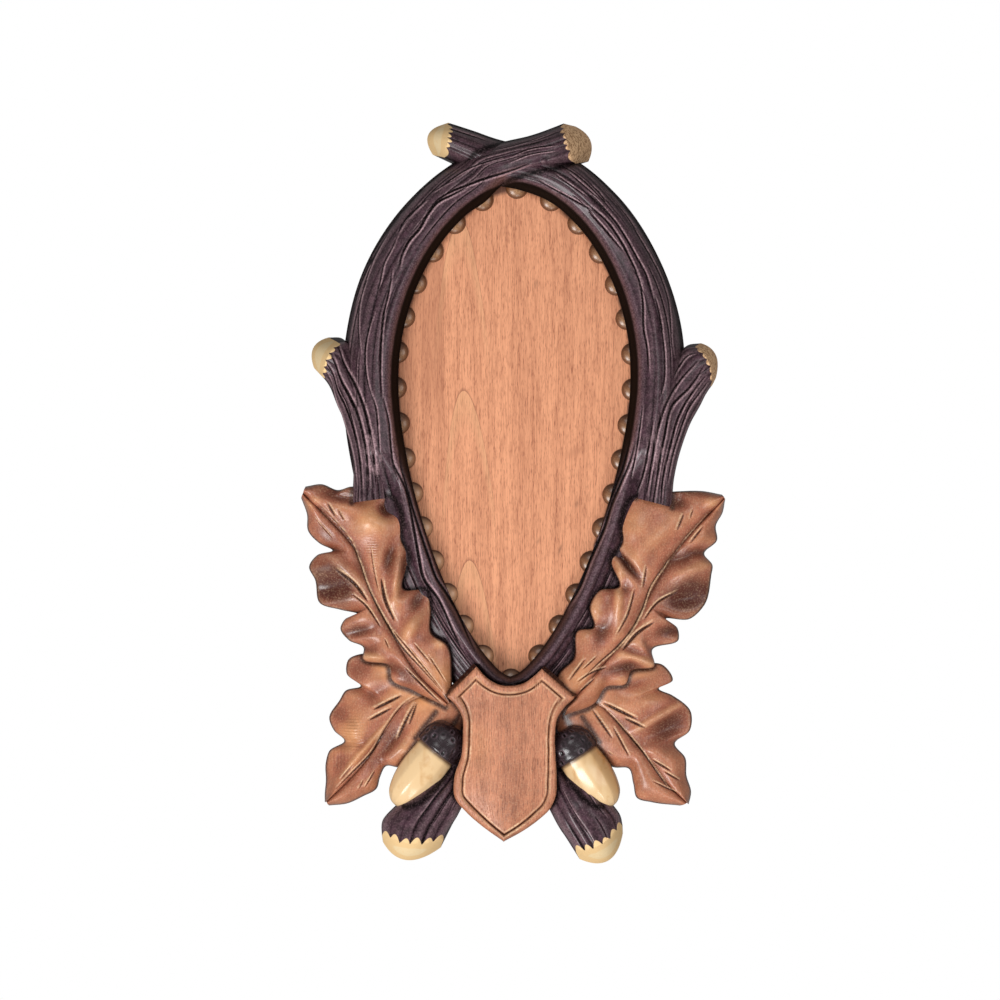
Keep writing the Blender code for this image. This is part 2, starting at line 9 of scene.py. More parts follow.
import bmesh
import bpy
import numpy as np
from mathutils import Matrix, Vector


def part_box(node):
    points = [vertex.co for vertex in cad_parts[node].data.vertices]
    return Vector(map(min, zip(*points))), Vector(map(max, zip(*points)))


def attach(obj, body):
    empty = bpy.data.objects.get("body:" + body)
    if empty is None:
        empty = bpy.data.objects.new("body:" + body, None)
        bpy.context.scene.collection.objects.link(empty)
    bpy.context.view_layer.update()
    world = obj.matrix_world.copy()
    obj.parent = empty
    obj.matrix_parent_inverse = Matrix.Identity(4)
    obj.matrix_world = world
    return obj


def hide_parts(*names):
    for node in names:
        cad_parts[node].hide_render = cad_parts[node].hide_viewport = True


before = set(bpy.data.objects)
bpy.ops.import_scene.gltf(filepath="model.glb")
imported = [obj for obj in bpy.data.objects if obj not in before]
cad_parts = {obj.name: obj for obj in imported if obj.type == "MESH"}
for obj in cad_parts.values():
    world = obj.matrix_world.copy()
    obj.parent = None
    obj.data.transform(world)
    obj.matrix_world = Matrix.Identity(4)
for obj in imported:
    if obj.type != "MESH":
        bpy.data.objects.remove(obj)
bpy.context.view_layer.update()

MM = 0.001
surround_low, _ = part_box("carved_surround")
panel_low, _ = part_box("back_panel")
print("the carving stands out", round(-surround_low[1] / MM, 1), "mm from the wall")

# %% [markdown]
# ## Working in a carver's units
# A carver draws a template in millimetres on the face of the board. So do we: x runs to the right, z up,
# and depth out from the wall. A surface is a grid of such points. Only at the very end does a grid become
# a mesh in metres, with depth turned into -Y.

# %% Curves and soft steps
PROFILE_SOFTNESS = 0.045
NOISE_SIZE = 128


def curve_through(points, at):
    """Cubic curve through the points; `at` holds places along it, from 0 at the first to 1 at the last.
    Between two points it blends two cubics, one pinned to each point with that point's slope."""
    points = np.asarray(points, float)
    chord = np.r_[0.0, np.cumsum(np.linalg.norm(np.diff(points, axis=0), axis=1))]
    slope = np.gradient(points, chord, axis=0)
    place = np.asarray(at, float) * chord[-1]
    span = np.clip(np.searchsorted(chord, place, side="right") - 1, 0, len(chord) - 2)
    length = (chord[span + 1] - chord[span])[:, None]
    s = ((place - chord[span]) / length[:, 0])[:, None]
    start = (1 + 2 * s) * (1 - s) ** 2 * points[span] + s * (1 - s) ** 2 * length * slope[span]
    end = s * s * (3 - 2 * s) * points[span + 1] + s * s * (s - 1) * length * slope[span + 1]
    return start + end


def smooth_step(low, high, value):
    """0 below `low`, 1 above `high` and an S-shaped rise between them: t * t * (3 - 2 t)."""
    share = np.clip((value - low) / (high - low), 0, 1)
    return share * share * (3 - 2 * share)


def profile(places, heights, at):
    """A smooth section through (place, height) pairs: straight lines between them, averaged over a short
    window so that the corners turn into curves."""
    window = np.linspace(-PROFILE_SOFTNESS, PROFILE_SOFTNESS, 9)
    return np.mean([np.interp(at + shift, places, heights) for shift in window], axis=0)


def noise(x, y, seed):
    """Value noise from -1 to 1: a random height at each whole-number corner, blended smoothly in between."""
    table = np.random.default_rng(seed).uniform(-1, 1, (NOISE_SIZE, NOISE_SIZE))
    x, y = np.broadcast_arrays(np.asarray(x, float), np.asarray(y, float))
    column, row = np.floor(x).astype(int), np.floor(y).astype(int)
    u, v = x - column, y - row
    u, v = u * u * (3 - 2 * u), v * v * (3 - 2 * v)
    left, right = column % NOISE_SIZE, (column + 1) % NOISE_SIZE
    below, above = row % NOISE_SIZE, (row + 1) % NOISE_SIZE
    low = table[below, left] * (1 - u) + table[below, right] * u
    high = table[above, left] * (1 - u) + table[above, right] * u
    return low * (1 - v) + high * v


print("curve helpers ready")

# %% [markdown]
# ## The opening
# The ring and the panel share one outline, so it is worked out once. It is two rounded arcs, one above
# and one below the widest place, and it leans a little to the right towards the top, as the carved one
# does.

# %% The opening's outline
OPENING_WIDTH = 100.0
OPENING_TOP = 130.5
OPENING_WIDEST = 49.0
OPENING_BOTTOM = -79.0
OPENING_LEAN = 0.0125
OUTLINE_DETAIL = 400
GAP_DETAIL = 480
PANEL_OVERLAP = 8.0
CLEARANCE = 0.3
BEAD_RISE = 2.4
BEAD_DIAMETER = 9.8
BEAD_PITCH = 15.2
BEAD_OFFSET = 1.2
PANEL_THICKNESS = -panel_low[1] / MM - BEAD_RISE
REBATE_DEPTH = PANEL_THICKNESS + BEAD_RISE + CLEARANCE


def opening_half_width(z):
    """Half the opening's width at the heights z: half of OPENING_WIDTH * (1 - up^2)^0.6 * (1 - down^1.6)^0.7,
    where up and down grow from 0 at the widest place to 1 at either end."""
    up = np.clip((z - OPENING_WIDEST) / (OPENING_TOP - OPENING_WIDEST), 0, 1)
    down = np.clip((OPENING_WIDEST - z) / (OPENING_WIDEST - OPENING_BOTTOM), 0, 1)
    return OPENING_WIDTH / 2 * (1 - up ** 2) ** 0.6 * (1 - down ** 1.6) ** 0.7


def opening_middle(z):
    """The opening's middle at the heights z."""
    return OPENING_LEAN * (z - (OPENING_WIDEST + OPENING_BOTTOM) / 2)


def opening_side(side, share):
    """Points down one side of the opening (side -1 is the left), from 0 at the top to 1 at the bottom."""
    turn = np.pi * np.linspace(0, 1, OUTLINE_DETAIL + 1)
    z = (OPENING_TOP + OPENING_BOTTOM) / 2 + (OPENING_TOP - OPENING_BOTTOM) / 2 * np.cos(turn)
    x = opening_middle(z) + side * opening_half_width(z)
    run = np.r_[0.0, np.cumsum(np.hypot(np.diff(x), np.diff(z)))]
    return np.c_[np.interp(share, run / run[-1], x), np.interp(share, run / run[-1], z)]


def opening_outline(offset, count):
    """`count` evenly spaced points round the opening, moved outwards by `offset`."""
    right = opening_side(1, np.linspace(0, 1, OUTLINE_DETAIL))
    left = opening_side(-1, np.linspace(1, 0, OUTLINE_DETAIL))
    dense = np.vstack([right, left[1:]])
    run = np.r_[0.0, np.cumsum(np.linalg.norm(np.diff(dense, axis=0), axis=1))]
    at = np.linspace(0, run[-1], count, endpoint=False)
    points = np.c_[np.interp(at, run, dense[:, 0]), np.interp(at, run, dense[:, 1])]
    along = np.roll(points, -1, axis=0) - np.roll(points, 1, axis=0)
    outwards = np.c_[-along[:, 1], along[:, 0]] / np.linalg.norm(along, axis=1)[:, None]
    return points + offset * outwards


def distance_to(plan, points):
    """Distance from each plan point to the nearest of the given points."""
    nearest = np.full(plan.shape[:-1], np.inf)
    for x, z in points:
        nearest = np.minimum(nearest, (plan[..., 0] - x) ** 2 + (plan[..., 1] - z) ** 2)
    return np.sqrt(nearest)


def opening_gap(plan):
    """Distance from each plan point to the opening's edge, negative inside it."""
    inside = np.abs(plan[..., 0] - opening_middle(plan[..., 1])) < opening_half_width(plan[..., 1])
    return distance_to(plan, opening_outline(0.0, GAP_DETAIL)) * np.where(inside, -1, 1)


print("the opening is", OPENING_WIDTH, "mm wide and", OPENING_TOP - OPENING_BOTTOM, "mm high")

# %% [markdown]
# ## The template
# A carver draws every outline on the board before the first cut. A leaf is marked out by its midrib and
# its two lobed edges, whose points also say how far along the midrib they belong. A stem is marked out by
# rows of (outer x, outer z, inner x, inner z), the shield by its top and two sides, and an acorn by three
# points on its axis. The outlines are needed early, because shade is painted darkest right beside whatever
# lies on top.

# %% The leaves' midribs and edges
LEAVES = {
    "left_upper_leaf": {
        "midrib": [(-28, -90), (-42, -76), (-52.5, -58.5), (-61, -41.5), (-67.5, -24.5), (-78.5, -11.5),
                   (-90, 0)],
        "outer": [(0, -29, -92), (0.10, -43, -85), (0.2, -52.5, -80), (0.24, -53.5, -74.5),
                  (0.31, -64.5, -71), (0.335, -64, -66.5), (0.385, -70.5, -63), (0.42, -74, -58),
                  (0.46, -72, -54), (0.50, -66.5, -52), (0.53, -74, -50), (0.57, -83, -47), (0.61, -85, -37),
                  (0.65, -87.5, -31.5), (0.68, -84, -26.5), (0.71, -77.5, -24.5), (0.77, -83, -21.5),
                  (0.84, -88, -16), (0.93, -88.5, -9), (1, -91, -2)],
        "inner": [(0, -26, -89), (0.1, -26, -78), (0.2, -28, -65), (0.25, -34.5, -60), (0.37, -35, -49),
                  (0.41, -36.5, -41.5), (0.47, -46.5, -41), (0.57, -44.5, -26), (0.61, -47.5, -20),
                  (0.68, -47.5, -10), (0.76, -51, -2), (0.86, -61, 0), (0.91, -69, 3), (0.945, -75, 1.5),
                  (0.975, -82, 4), (1, -89, 3)]},
    "right_upper_leaf": {
        "midrib": [(24, -91), (38.5, -74), (51.5, -58.5), (60, -41.5), (71, -24), (91, -2)],
        "outer": [(0, 22, -96), (0.12, 36, -90), (0.2, 40, -84), (0.26, 49, -82), (0.3, 51, -77),
                  (0.36, 61, -74), (0.40, 60, -67.5), (0.45, 71.5, -62.5), (0.475, 71, -58), (0.50, 66, -54),
                  (0.545, 76, -54), (0.60, 82.5, -48), (0.66, 85.5, -35), (0.70, 86, -31), (0.74, 82.5, -26),
                  (0.79, 88, -20), (0.84, 87.5, -14), (0.91, 90.5, -8), (1, 91.5, -3)],
        "inner": [(0, 17, -86), (0.12, 20, -77), (0.2, 26, -71), (0.26, 28, -58.5), (0.34, 34.5, -57.5),
                  (0.41, 33, -48), (0.46, 37, -41.5), (0.51, 45.5, -40), (0.56, 42, -28), (0.61, 47, -21),
                  (0.66, 46.5, -12), (0.73, 50.5, -2.5), (0.81, 61, 0), (0.88, 72, 1), (0.95, 82, 1),
                  (1, 90, -0.5)]},
    "left_lower_leaf": {
        "midrib": [(-30, -84), (-46, -91), (-55, -103), (-62.5, -114.5), (-71.5, -124.5), (-80, -132.5)],
        "outer": [(0, -36, -78), (0.15, -62, -68.5), (0.21, -71, -72), (0.25, -71.5, -77.5),
                  (0.30, -65.5, -83), (0.35, -72, -85), (0.40, -74.5, -89), (0.46, -79, -97),
                  (0.51, -77, -102), (0.55, -72.5, -106.5), (0.60, -79, -111), (0.68, -80.5, -116),
                  (0.80, -80.5, -124),
                  (0.9, -81, -130), (1, -81, -133)],
        "inner": [(0, -17, -91), (0.2, -22, -103), (0.4, -34, -113), (0.54, -49, -118), (0.60, -54.5, -117.5),
                  (0.66, -57, -122), (0.74, -58.5, -127), (0.82, -64.5, -130.5), (0.9, -71, -133.5),
                  (1, -79, -134.5)]},
    "right_lower_leaf": {
        "midrib": [(24, -84), (40, -93), (51.5, -106), (59.5, -115), (67, -125.5), (75, -133)],
        "outer": [(0, 34, -78), (0.13, 56, -73), (0.18, 65, -74), (0.22, 69, -80.5), (0.265, 63, -84),
                  (0.33, 69, -87), (0.43, 77, -94.5), (0.54, 76.5, -102), (0.60, 70, -108),
                  (0.66, 74.5, -114), (0.78, 75, -121.5), (0.9, 77, -129), (1, 76, -134)],
        "inner": [(0, 12, -93), (0.2, 19, -105), (0.4, 35, -115), (0.5, 44, -118), (0.56, 50, -118.5),
                  (0.64, 52, -125), (0.73, 53.5, -131), (0.83, 60, -133), (1, 72, -134.5)]}}


def leaf_edge(points, share):
    """A leaf's edge at the given shares of its midrib."""
    points = np.asarray(points, float)
    chord = np.r_[0.0, np.cumsum(np.linalg.norm(np.diff(points[:, 1:], axis=0), axis=1))]
    return curve_through(points[:, 1:], np.interp(share, points[:, 0], chord / chord[-1]))


print(len(LEAVES), "leaves drawn")

# %% The branches, twigs and stubs
def ring_row(side, share, width):
    """One row of a branch beside the opening: its outer edge, `width` mm out, and its inner edge."""
    before, here, after = opening_side(side, np.array([share - 0.01, share, share + 0.01]))
    along = (after - before) / np.linalg.norm(after - before)
    outwards = np.array([side * -along[1], side * along[0]])
    return (*(here + width * outwards), *here)


LEFT_WIDTHS = [(0.055, 21.5), (0.10, 21.5), (0.16, 22.5), (0.26, 24), (0.36, 24), (0.46, 24), (0.56, 24),
               (0.66, 23.5), (0.76, 22.5), (0.86, 20.5), (0.93, 18.5), (0.975, 18)]
RIGHT_WIDTHS = [(0.055, 21), (0.13, 21.5), (0.24, 22.5), (0.34, 23.5), (0.45, 23.5), (0.56, 23), (0.66, 23),
                (0.76, 22.5), (0.86, 20.5), (0.93, 19), (0.975, 18)]
STEMS = {
    "left_branch": [(26.5, 160.6, 32.8, 143.5), (8, 154, 18, 139), (-7, 150.5, 5, 136), (-19, 147, -5, 132)]
    + [ring_row(-1, share, width) for share, width in LEFT_WIDTHS] + [(5, -93.5, 2, -80)],
    "right_branch": [(-31, 161, -34.5, 146.5), (-17, 156.4, -22, 140.5), (-4, 152, -8, 133),
                     (10, 149, 3, 130.5)]
    + [ring_row(1, share, width) for share, width in RIGHT_WIDTHS] + [(-8, -93.5, -5, -80)],
    "left_twig": [(-86.5, 53, -79.5, 67.5), (-80.5, 46.5, -73.5, 67), (-75, 37, -67, 57), (-71, 25, -61, 40),
                  (-68.5, 12, -56.5, 20), (-69, -4, -54, -2)],
    "right_twig": [(88.5, 48.5, 81.5, 65), (83.5, 41.5, 75.5, 64), (78, 33, 69, 56), (73, 21, 62, 40),
                   (69.5, 7, 57, 20), (68.5, -6, 53, -2)],
    "left_stub": [(-57.5, -150.5, -31, -153), (-56.5, -142, -26, -143), (-49, -133, -21, -133),
                  (-36, -118, -12, -119), (-27, -102, -3, -101), (-18, -88, 7, -89)],
    "right_stub": [(49, -146, 29, -158), (47, -139.5, 23, -148.5), (40, -130, 17, -138), (33, -117, 9, -122),
                   (26, -102, 0, -104), (18, -88, -8, -89)]}
print("stems:", *STEMS)

# %% The shield and the acorns
SHIELD_CORNERS = (-28, -87), (-15.5, -74), (12.5, -75), (26.5, -87.5)
SHIELD_HOLLOW = [(-15.5, -74), (-10.8, -79), (-6, -81.7), (-1.2, -82.3), (4.8, -81.1), (9.5, -77.8),
                 (12.5, -75)]
SHIELD_LEFT = [(-28, -87), (-24.6, -90.4), (-21.6, -95.8), (-21.3, -103), (-21.8, -111.4), (-25, -122),
               (-24.6, -130.5), (-19.8, -136.5), (-13, -142.5), (-4, -149)]
SHIELD_RIGHT = [(26.5, -87.5), (22.7, -91), (19.1, -96.4), (18.2, -103), (18.3, -112), (18.8, -121),
                (18.3, -130), (16, -135), (10.8, -140), (4.8, -144.3), (-3.6, -149)]
ACORNS = {"left": [(-24.5, -100.5), (-33, -111), (-50.5, -134)],
          "right": [(21, -102), (28, -113), (43, -134.5)]}
NUT_DIAMETER = 19.0
CAP_DIAMETER = 21.5
CAP_SHARE = 0.35
CROSSING_BOTTOM = 128


def shield_top(columns):
    """The top edge: a straight shoulder, the hollow, and a straight shoulder, with sharp corners between."""
    shoulder = columns // 6
    left_corner, left_peak, right_peak, right_corner = SHIELD_CORNERS
    return np.concatenate([curve_through([left_corner, left_peak], np.linspace(0, 1, shoulder)),
                           curve_through(SHIELD_HOLLOW, np.linspace(0, 1, columns - 2 * shoulder + 2)[1:-1]),
                           curve_through([right_peak, right_corner], np.linspace(0, 1, shoulder))])


def acorn_outline(foot, cap_end, tip):
    """Points down both sides of an acorn, from its axis and its two diameters."""
    foot, cap_end, tip = np.array(foot), np.array(cap_end), np.array(tip)
    share = np.linspace(0, 1, 40)[:, None]
    along = (tip - foot) / np.linalg.norm(tip - foot)
    across = np.array([-along[1], along[0]])
    half = np.where(share < CAP_SHARE, CAP_DIAMETER / 2, NUT_DIAMETER / 2) * (1 - share ** 5) ** 0.5
    axis = foot + (tip - foot) * share
    return np.vstack([axis + across * half, axis - across * half])


OUTLINES = {name: np.vstack([leaf_edge(leaf[side], np.linspace(0, 1, 260)) for side in ("outer", "inner")])
            for name, leaf in LEAVES.items()}
for name, rows in STEMS.items():
    edges = curve_through(rows, np.linspace(0, 1, 500 if "branch" in name else 90))
    OUTLINES[name] = np.vstack([edges[:, :2], edges[:, 2:]])
for name, points in ACORNS.items():
    OUTLINES[name + "_acorn"] = acorn_outline(*points)
crossing = OUTLINES["left_branch"]
OUTLINES["crossing"] = crossing[crossing[:, 1] > CROSSING_BOTTOM]
OUTLINES["shield"] = np.vstack([shield_top(90), curve_through(SHIELD_LEFT, np.linspace(0, 1, 90)),
                                curve_through(SHIELD_RIGHT, np.linspace(0, 1, 90))])


def contact_shade(plan, above, reach=2.4):
    """Painted shade: 1 right beside the outlines of the pieces that lie above, falling to 0 at `reach` mm
    from them.
    """
    if not above:
        return np.zeros(plan.shape[:-1])
    outline = np.vstack([OUTLINES[name] for name in above])
    return smooth_step(reach, 0.3, distance_to(plan, outline))


print(sum(map(len, OUTLINES.values())), "points on the outlines")

# %% [markdown]
# ## From grids to a closed piece
# Every carved piece is a cushion of six sheets: a finely carved front, a plain back, two long walls and
# two ends. The sheets meet along shared edges, and the back is coarser than the front, because nobody
# sees it up close. Where a fine edge meets a coarse one, the spare points are drawn to their nearest
# coarse neighbour. The sheets could be joined with a Boolean, but shared edge points give a closed
# surface at once.

# %% Sheets, walls and closed pieces
KEYS_PER_MM = 20000


def kept_places(count, step):
    """For each of `count` places, the nearest one that a coarser edge keeps: each `step`-th and the last."""
    kept = np.unique(np.r_[np.arange(0, count, step), count - 1])
    return kept[np.abs(np.arange(count)[:, None] - kept[None, :]).argmin(axis=1)]


def wall_sheet(front_edge, back_edge, kept, rows):
    """Straight lines from a front edge to a back one, whose last row uses only the kept places."""
    share = np.linspace(0, 1, rows)
    sheet = front_edge[:, None] + (back_edge - front_edge)[:, None] * share[None, :, None]
    sheet[:, -1] = back_edge[kept]
    return sheet


def cushion(front, back, wall_rows, step):
    """Front, inner wall, outer wall, start, end and back sheets between two grids of the same size."""
    rows, columns = kept_places(front.shape[0], step), kept_places(front.shape[1], step)
    return [front,
            wall_sheet(front[:, 0], back[:, 0], rows, wall_rows),
            wall_sheet(front[:, -1], back[:, -1], rows, wall_rows),
            wall_sheet(front[0], back[0], columns, wall_rows),
            wall_sheet(front[-1], back[-1], columns, wall_rows),
            back[np.unique(rows)][:, np.unique(columns)]]


def add_piece(name, sheets, values, material, node, sharp=50):
    """One closed mesh from sheets in millimetres. Points that coincide become one, each grid cell becomes
    two triangles, and those that lost a corner are dropped. `values` gives each attribute's grid for each
    sheet."""
    points = np.concatenate([sheet.reshape(-1, 3) for sheet in sheets])
    quads, start = [], 0
    for sheet in sheets:
        index = start + np.arange(sheet[..., 0].size).reshape(sheet.shape[:2])
        corners = [index[:-1, :-1], index[:-1, 1:], index[1:, 1:], index[1:, :-1]]
        quads.append(np.stack(corners, -1).reshape(-1, 4))
        start += index.size
    quads = np.concatenate(quads)
    keys = np.round(points * KEYS_PER_MM).astype(np.int64)
    _, first, same = np.unique(keys, axis=0, return_index=True, return_inverse=True)
    corners = same.ravel()[quads]
    triangles = np.concatenate([corners[:, [0, 1, 2]], corners[:, [0, 2, 3]]])
    a, b, c = triangles.T
    triangles = triangles[(a != b) & (b != c) & (c != a)]
    placed = points[first] * (MM, -MM, MM)
    mesh = bpy.data.meshes.new(name)
    mesh.from_pydata(placed, [], triangles)
    shape = bmesh.new()
    shape.from_mesh(mesh)
    bmesh.ops.recalc_face_normals(shape, faces=shape.faces)
    open_edges = sum(len(edge.link_faces) != 2 for edge in shape.edges)
    shape.to_mesh(mesh)
    shape.free()
    for attribute, grids in values.items():
        spread = [np.broadcast_to(grid, sheet.shape[:2]).ravel() for grid, sheet in zip(grids, sheets)]
        layer = mesh.attributes.new(attribute, "FLOAT", "POINT")
        layer.data.foreach_set("value", np.concatenate(spread)[first].astype(np.float32))
    mesh.shade_smooth()
    mesh.set_sharp_from_angle(angle=np.radians(sharp))
    piece = bpy.data.objects.new(name, mesh)
    bpy.context.scene.collection.objects.link(piece)
    mesh.materials.append(material)
    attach(piece, "root")
    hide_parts(node)
    print(name, "has", len(triangles), "triangles and", open_edges, "open edges")


print("points closer than", 1 / KEYS_PER_MM, "mm become one")

# %% [markdown]
# ## The carver's tools
# Three marks make almost all of the carving. A **mound** is a soft swelling, or a hollow if it is
# negative. A **gouge cut** is a narrow V that swells in the middle and dies out at both ends, as a gouge
# enters and leaves the wood, with a little burr thrown up on one side. **Hollows and crests** are then
# read back off the carved surface, because stain settles in the one and wears off the other. Read over a
# wider reach, they also give painted shade in the broad hollows and painted highlight on the broad crests.

# %% Mounds, gouge cuts and wear
LINE_DETAIL = 8
FAR_AWAY = 1000.0


def mounds(plan, shapes):
    """Sum of mounds (x, z, long, short, turn, height): height * exp(-(u / long)^2 - (v / short)^2), where u
    and v are measured along and across the turned mound."""
    total = np.zeros(plan.shape[:-1])
    for x, z, long, short, turn, height in shapes:
        angle = np.radians(turn)
        right, up = plan[..., 0] - x, plan[..., 1] - z
        u = right * np.cos(angle) + up * np.sin(angle)
        v = up * np.cos(angle) - right * np.sin(angle)
        total += height * np.exp(-(u / long) ** 2 - (v / short) ** 2)
    return total


def beside_line(plan, points, reach):
    """Distance to a smooth line, the share of its length at the nearest place, and the side, +1 on its left.
    Only plan points within `reach` of the line's box are measured; the others stay far away."""
    count = LINE_DETAIL * len(points)
    line = curve_through(points, np.linspace(0, 1, count))
    flat = plan.reshape(-1, 2)
    near = np.all((flat > line.min(axis=0) - reach) & (flat < line.max(axis=0) + reach), axis=1)
    here = flat[near]
    best, place, side = np.full(len(here), FAR_AWAY), np.zeros(len(here)), np.zeros(len(here))
    for k in range(count - 1):
        run = line[k + 1] - line[k]
        t = np.clip((here - line[k]) @ run / (run @ run), 0, 1)
        gap = here - line[k] - t[:, None] * run
        distance = np.hypot(gap[:, 0], gap[:, 1])
        nearer = distance < best
        best = np.where(nearer, distance, best)
        place = np.where(nearer, (k + t) / (count - 1), place)
        side = np.where(nearer, np.sign(run[0] * gap[:, 1] - run[1] * gap[:, 0]), side)
    found = np.full((3, len(flat)), FAR_AWAY)
    found[:, near] = best, place, side
    return found.reshape(3, *plan.shape[:-1])


def gouge_cuts(plan, cuts):
    """Depth and burr of cuts (points, half width, depth): a V that is depth * lens deep and half width * lens
    wide, where lens = sqrt(4 t (1 - t)) along the cut, with the burr just past its left edge."""
    depth = np.zeros(plan.shape[:-1])
    burr = np.zeros(plan.shape[:-1])
    for points, half_width, deep in cuts:
        distance, place, side = beside_line(plan, points, 3 * half_width)
        lens = np.sqrt(np.clip(4 * place * (1 - place), 0, 1)) * (distance < FAR_AWAY)
        depth = np.maximum(depth, deep * lens * np.clip(1 - distance / (half_width * lens + 0.001), 0, 1))
        edge = np.exp(-((distance - 1.2 * half_width) / (0.45 * half_width)) ** 2)
        burr = np.maximum(burr, lens * edge * (side > 0))
    return depth, burr


def box_blur(grid, reach):
    """Mean over a window of 2 reach + 1 cells each way, from running sums, with the edge cells repeated."""
    for axis in (0, 1):
        pads = [(0, 0), (0, 0)]
        pads[axis] = (reach + 1, reach)
        total = np.cumsum(np.pad(grid, pads, mode="edge"), axis=axis)
        ahead = np.take(total, np.arange(2 * reach + 1, total.shape[axis]), axis=axis)
        behind = np.take(total, np.arange(0, total.shape[axis] - 2 * reach - 1), axis=axis)
        grid = (ahead - behind) / (2 * reach + 1)
    return grid


def hollows_and_crests(height, reach, scale):
    """How far the surface lies below its smoothed self (hollow) and above it (crest), 1 at `scale` mm."""
    gap = box_blur(height, reach) - height
    return np.clip(gap / scale, 0, 1), np.clip(-gap / scale, 0, 1)


print("carving tools ready")

# %% [markdown]
# ## Finishes
# The carving is stained: branches a cold dark brown, leaves and shield a copper brown, acorn caps nearly
# black. Saw cuts, nuts and the panel keep pale raw wood under lacquer. Each finish is one Principled
# BSDF. Two effects serve several of them, so each is a node group: **board grain**, fine streaks along Z,
# and **stain and shading**, which darkens hollows with pooled stain and painted shade, and lightens edges
# with bare wood and painted highlight. The carving wrote both masks as vertex attributes.

# %% Node helpers
def stain(red, green, blue):
    """A colour given as 0 to 255 each, turned into the linear light that Blender mixes."""
    share = np.array([red, green, blue]) / 255
    linear = np.where(share <= 0.04045, share / 12.92, ((share + 0.055) / 1.055) ** 2.4)
    return (*linear.tolist(), 1.0)


def add_node(tree, kind, inputs=(), **settings):
    """A node with its settings, and inputs as pairs of a socket's name or number and a value or link."""
    made = tree.nodes.new(kind)
    for name, value in settings.items():
        setattr(made, name, value)
    for key, value in inputs:
        if isinstance(value, bpy.types.NodeSocket):
            tree.links.new(value, made.inputs[key])
        else:
            made.inputs[key].default_value = value
    return made


def mix_colour(tree, share, first, second, blend="MIX"):
    """Colour between first and second by share. Sockets 6, 7 and output 2 are the Mix node's colours."""
    made = add_node(tree, "ShaderNodeMix", [(0, share), (6, first), (7, second)], data_type="RGBA",
                    blend_type=blend)
    return made.outputs[2]


def math_node(tree, operation, first, second=0.5, clamp=False):
    """One sum of two numbers."""
    made = add_node(tree, "ShaderNodeMath", [(0, first), (1, second)], operation=operation, use_clamp=clamp)
    return made.outputs[0]


def steps(tree, value, low, high, to_low=0.0, to_high=1.0):
    """`value` mapped from low..high to to_low..to_high, and held there."""
    made = add_node(tree, "ShaderNodeMapRange", [(0, value), (1, low), (2, high), (3, to_low), (4, to_high)])
    return made.outputs[0]


def carved_value(tree, name):
    """A vertex attribute that the carving wrote."""
    return add_node(tree, "ShaderNodeAttribute", attribute_name=name).outputs["Fac"]


def cloud(tree, place, scale, detail):
    """Noise with `scale` swells a metre at the given place."""
    made = add_node(tree, "ShaderNodeTexNoise", [("Vector", place), ("Scale", scale), ("Detail", detail)])
    return made.outputs[0]


def streaks(tree, across, along, detail, offset=0.0):
    """Noise stretched along Z: `across` streaks a metre to the side and `along` a metre upwards."""
    place = add_node(tree, "ShaderNodeTexCoord").outputs["Object"]
    stretched = add_node(tree, "ShaderNodeMapping", [(0, place), (1, (offset, 0, offset)),
                                                     (3, (across, across, along))]).outputs[0]
    return cloud(tree, stretched, 1.0, detail)


# %% Node groups for grain and stain
def new_group(name, inputs, outputs):
    """An empty node group with named sockets, each given as (name, kind, default)."""
    group = bpy.data.node_groups.new(name, "ShaderNodeTree")
    for label, kind, default in inputs:
        group.interface.new_socket(label, in_out="INPUT", socket_type=kind).default_value = default
    for label, kind in outputs:
        group.interface.new_socket(label, in_out="OUTPUT", socket_type=kind)
    return group, group.nodes.new("NodeGroupInput"), group.nodes.new("NodeGroupOutput")


GRAIN_LAYERS = [(260, 9, 2.0, 0.0, 0.38, 0.66, 0.30), (2600, 90, 3.0, 7.0, 0.44, 0.64, 0.50),
                (3600, 420, 2.0, 3.0, 0.52, 0.66, 0.60)]


def board_grain():
    """Group: streaks of three widths along Z, darkest where they agree, as a colour and a height. Each layer
    has its streaks a metre across and along, detail, offset, two thresholds and weight."""
    group, given, put = new_group("board_grain", [("Light", "NodeSocketColor", (1, 1, 1, 1)),
                                                  ("Dark", "NodeSocketColor", (0, 0, 0, 1)),
                                                  ("Strength", "NodeSocketFloat", 0.5)],
                                  [("Color", "NodeSocketColor"), ("Height", "NodeSocketFloat")])
    layers = []
    for across, along, detail, offset, low, high, weight in GRAIN_LAYERS:
        layer = steps(group, streaks(group, across, along, detail, offset), low, high)
        layers.append(math_node(group, "MULTIPLY", layer, weight))
    broad, fine, pores = layers
    total = math_node(group, "ADD", math_node(group, "ADD", broad, fine), pores)
    share = math_node(group, "MULTIPLY", total, given.outputs["Strength"], clamp=True)
    wood = mix_colour(group, share, given.outputs["Light"], given.outputs["Dark"])
    group.links.new(wood, put.inputs["Color"])
    group.links.new(math_node(group, "SUBTRACT", 1.0, share), put.inputs["Height"])
    return group


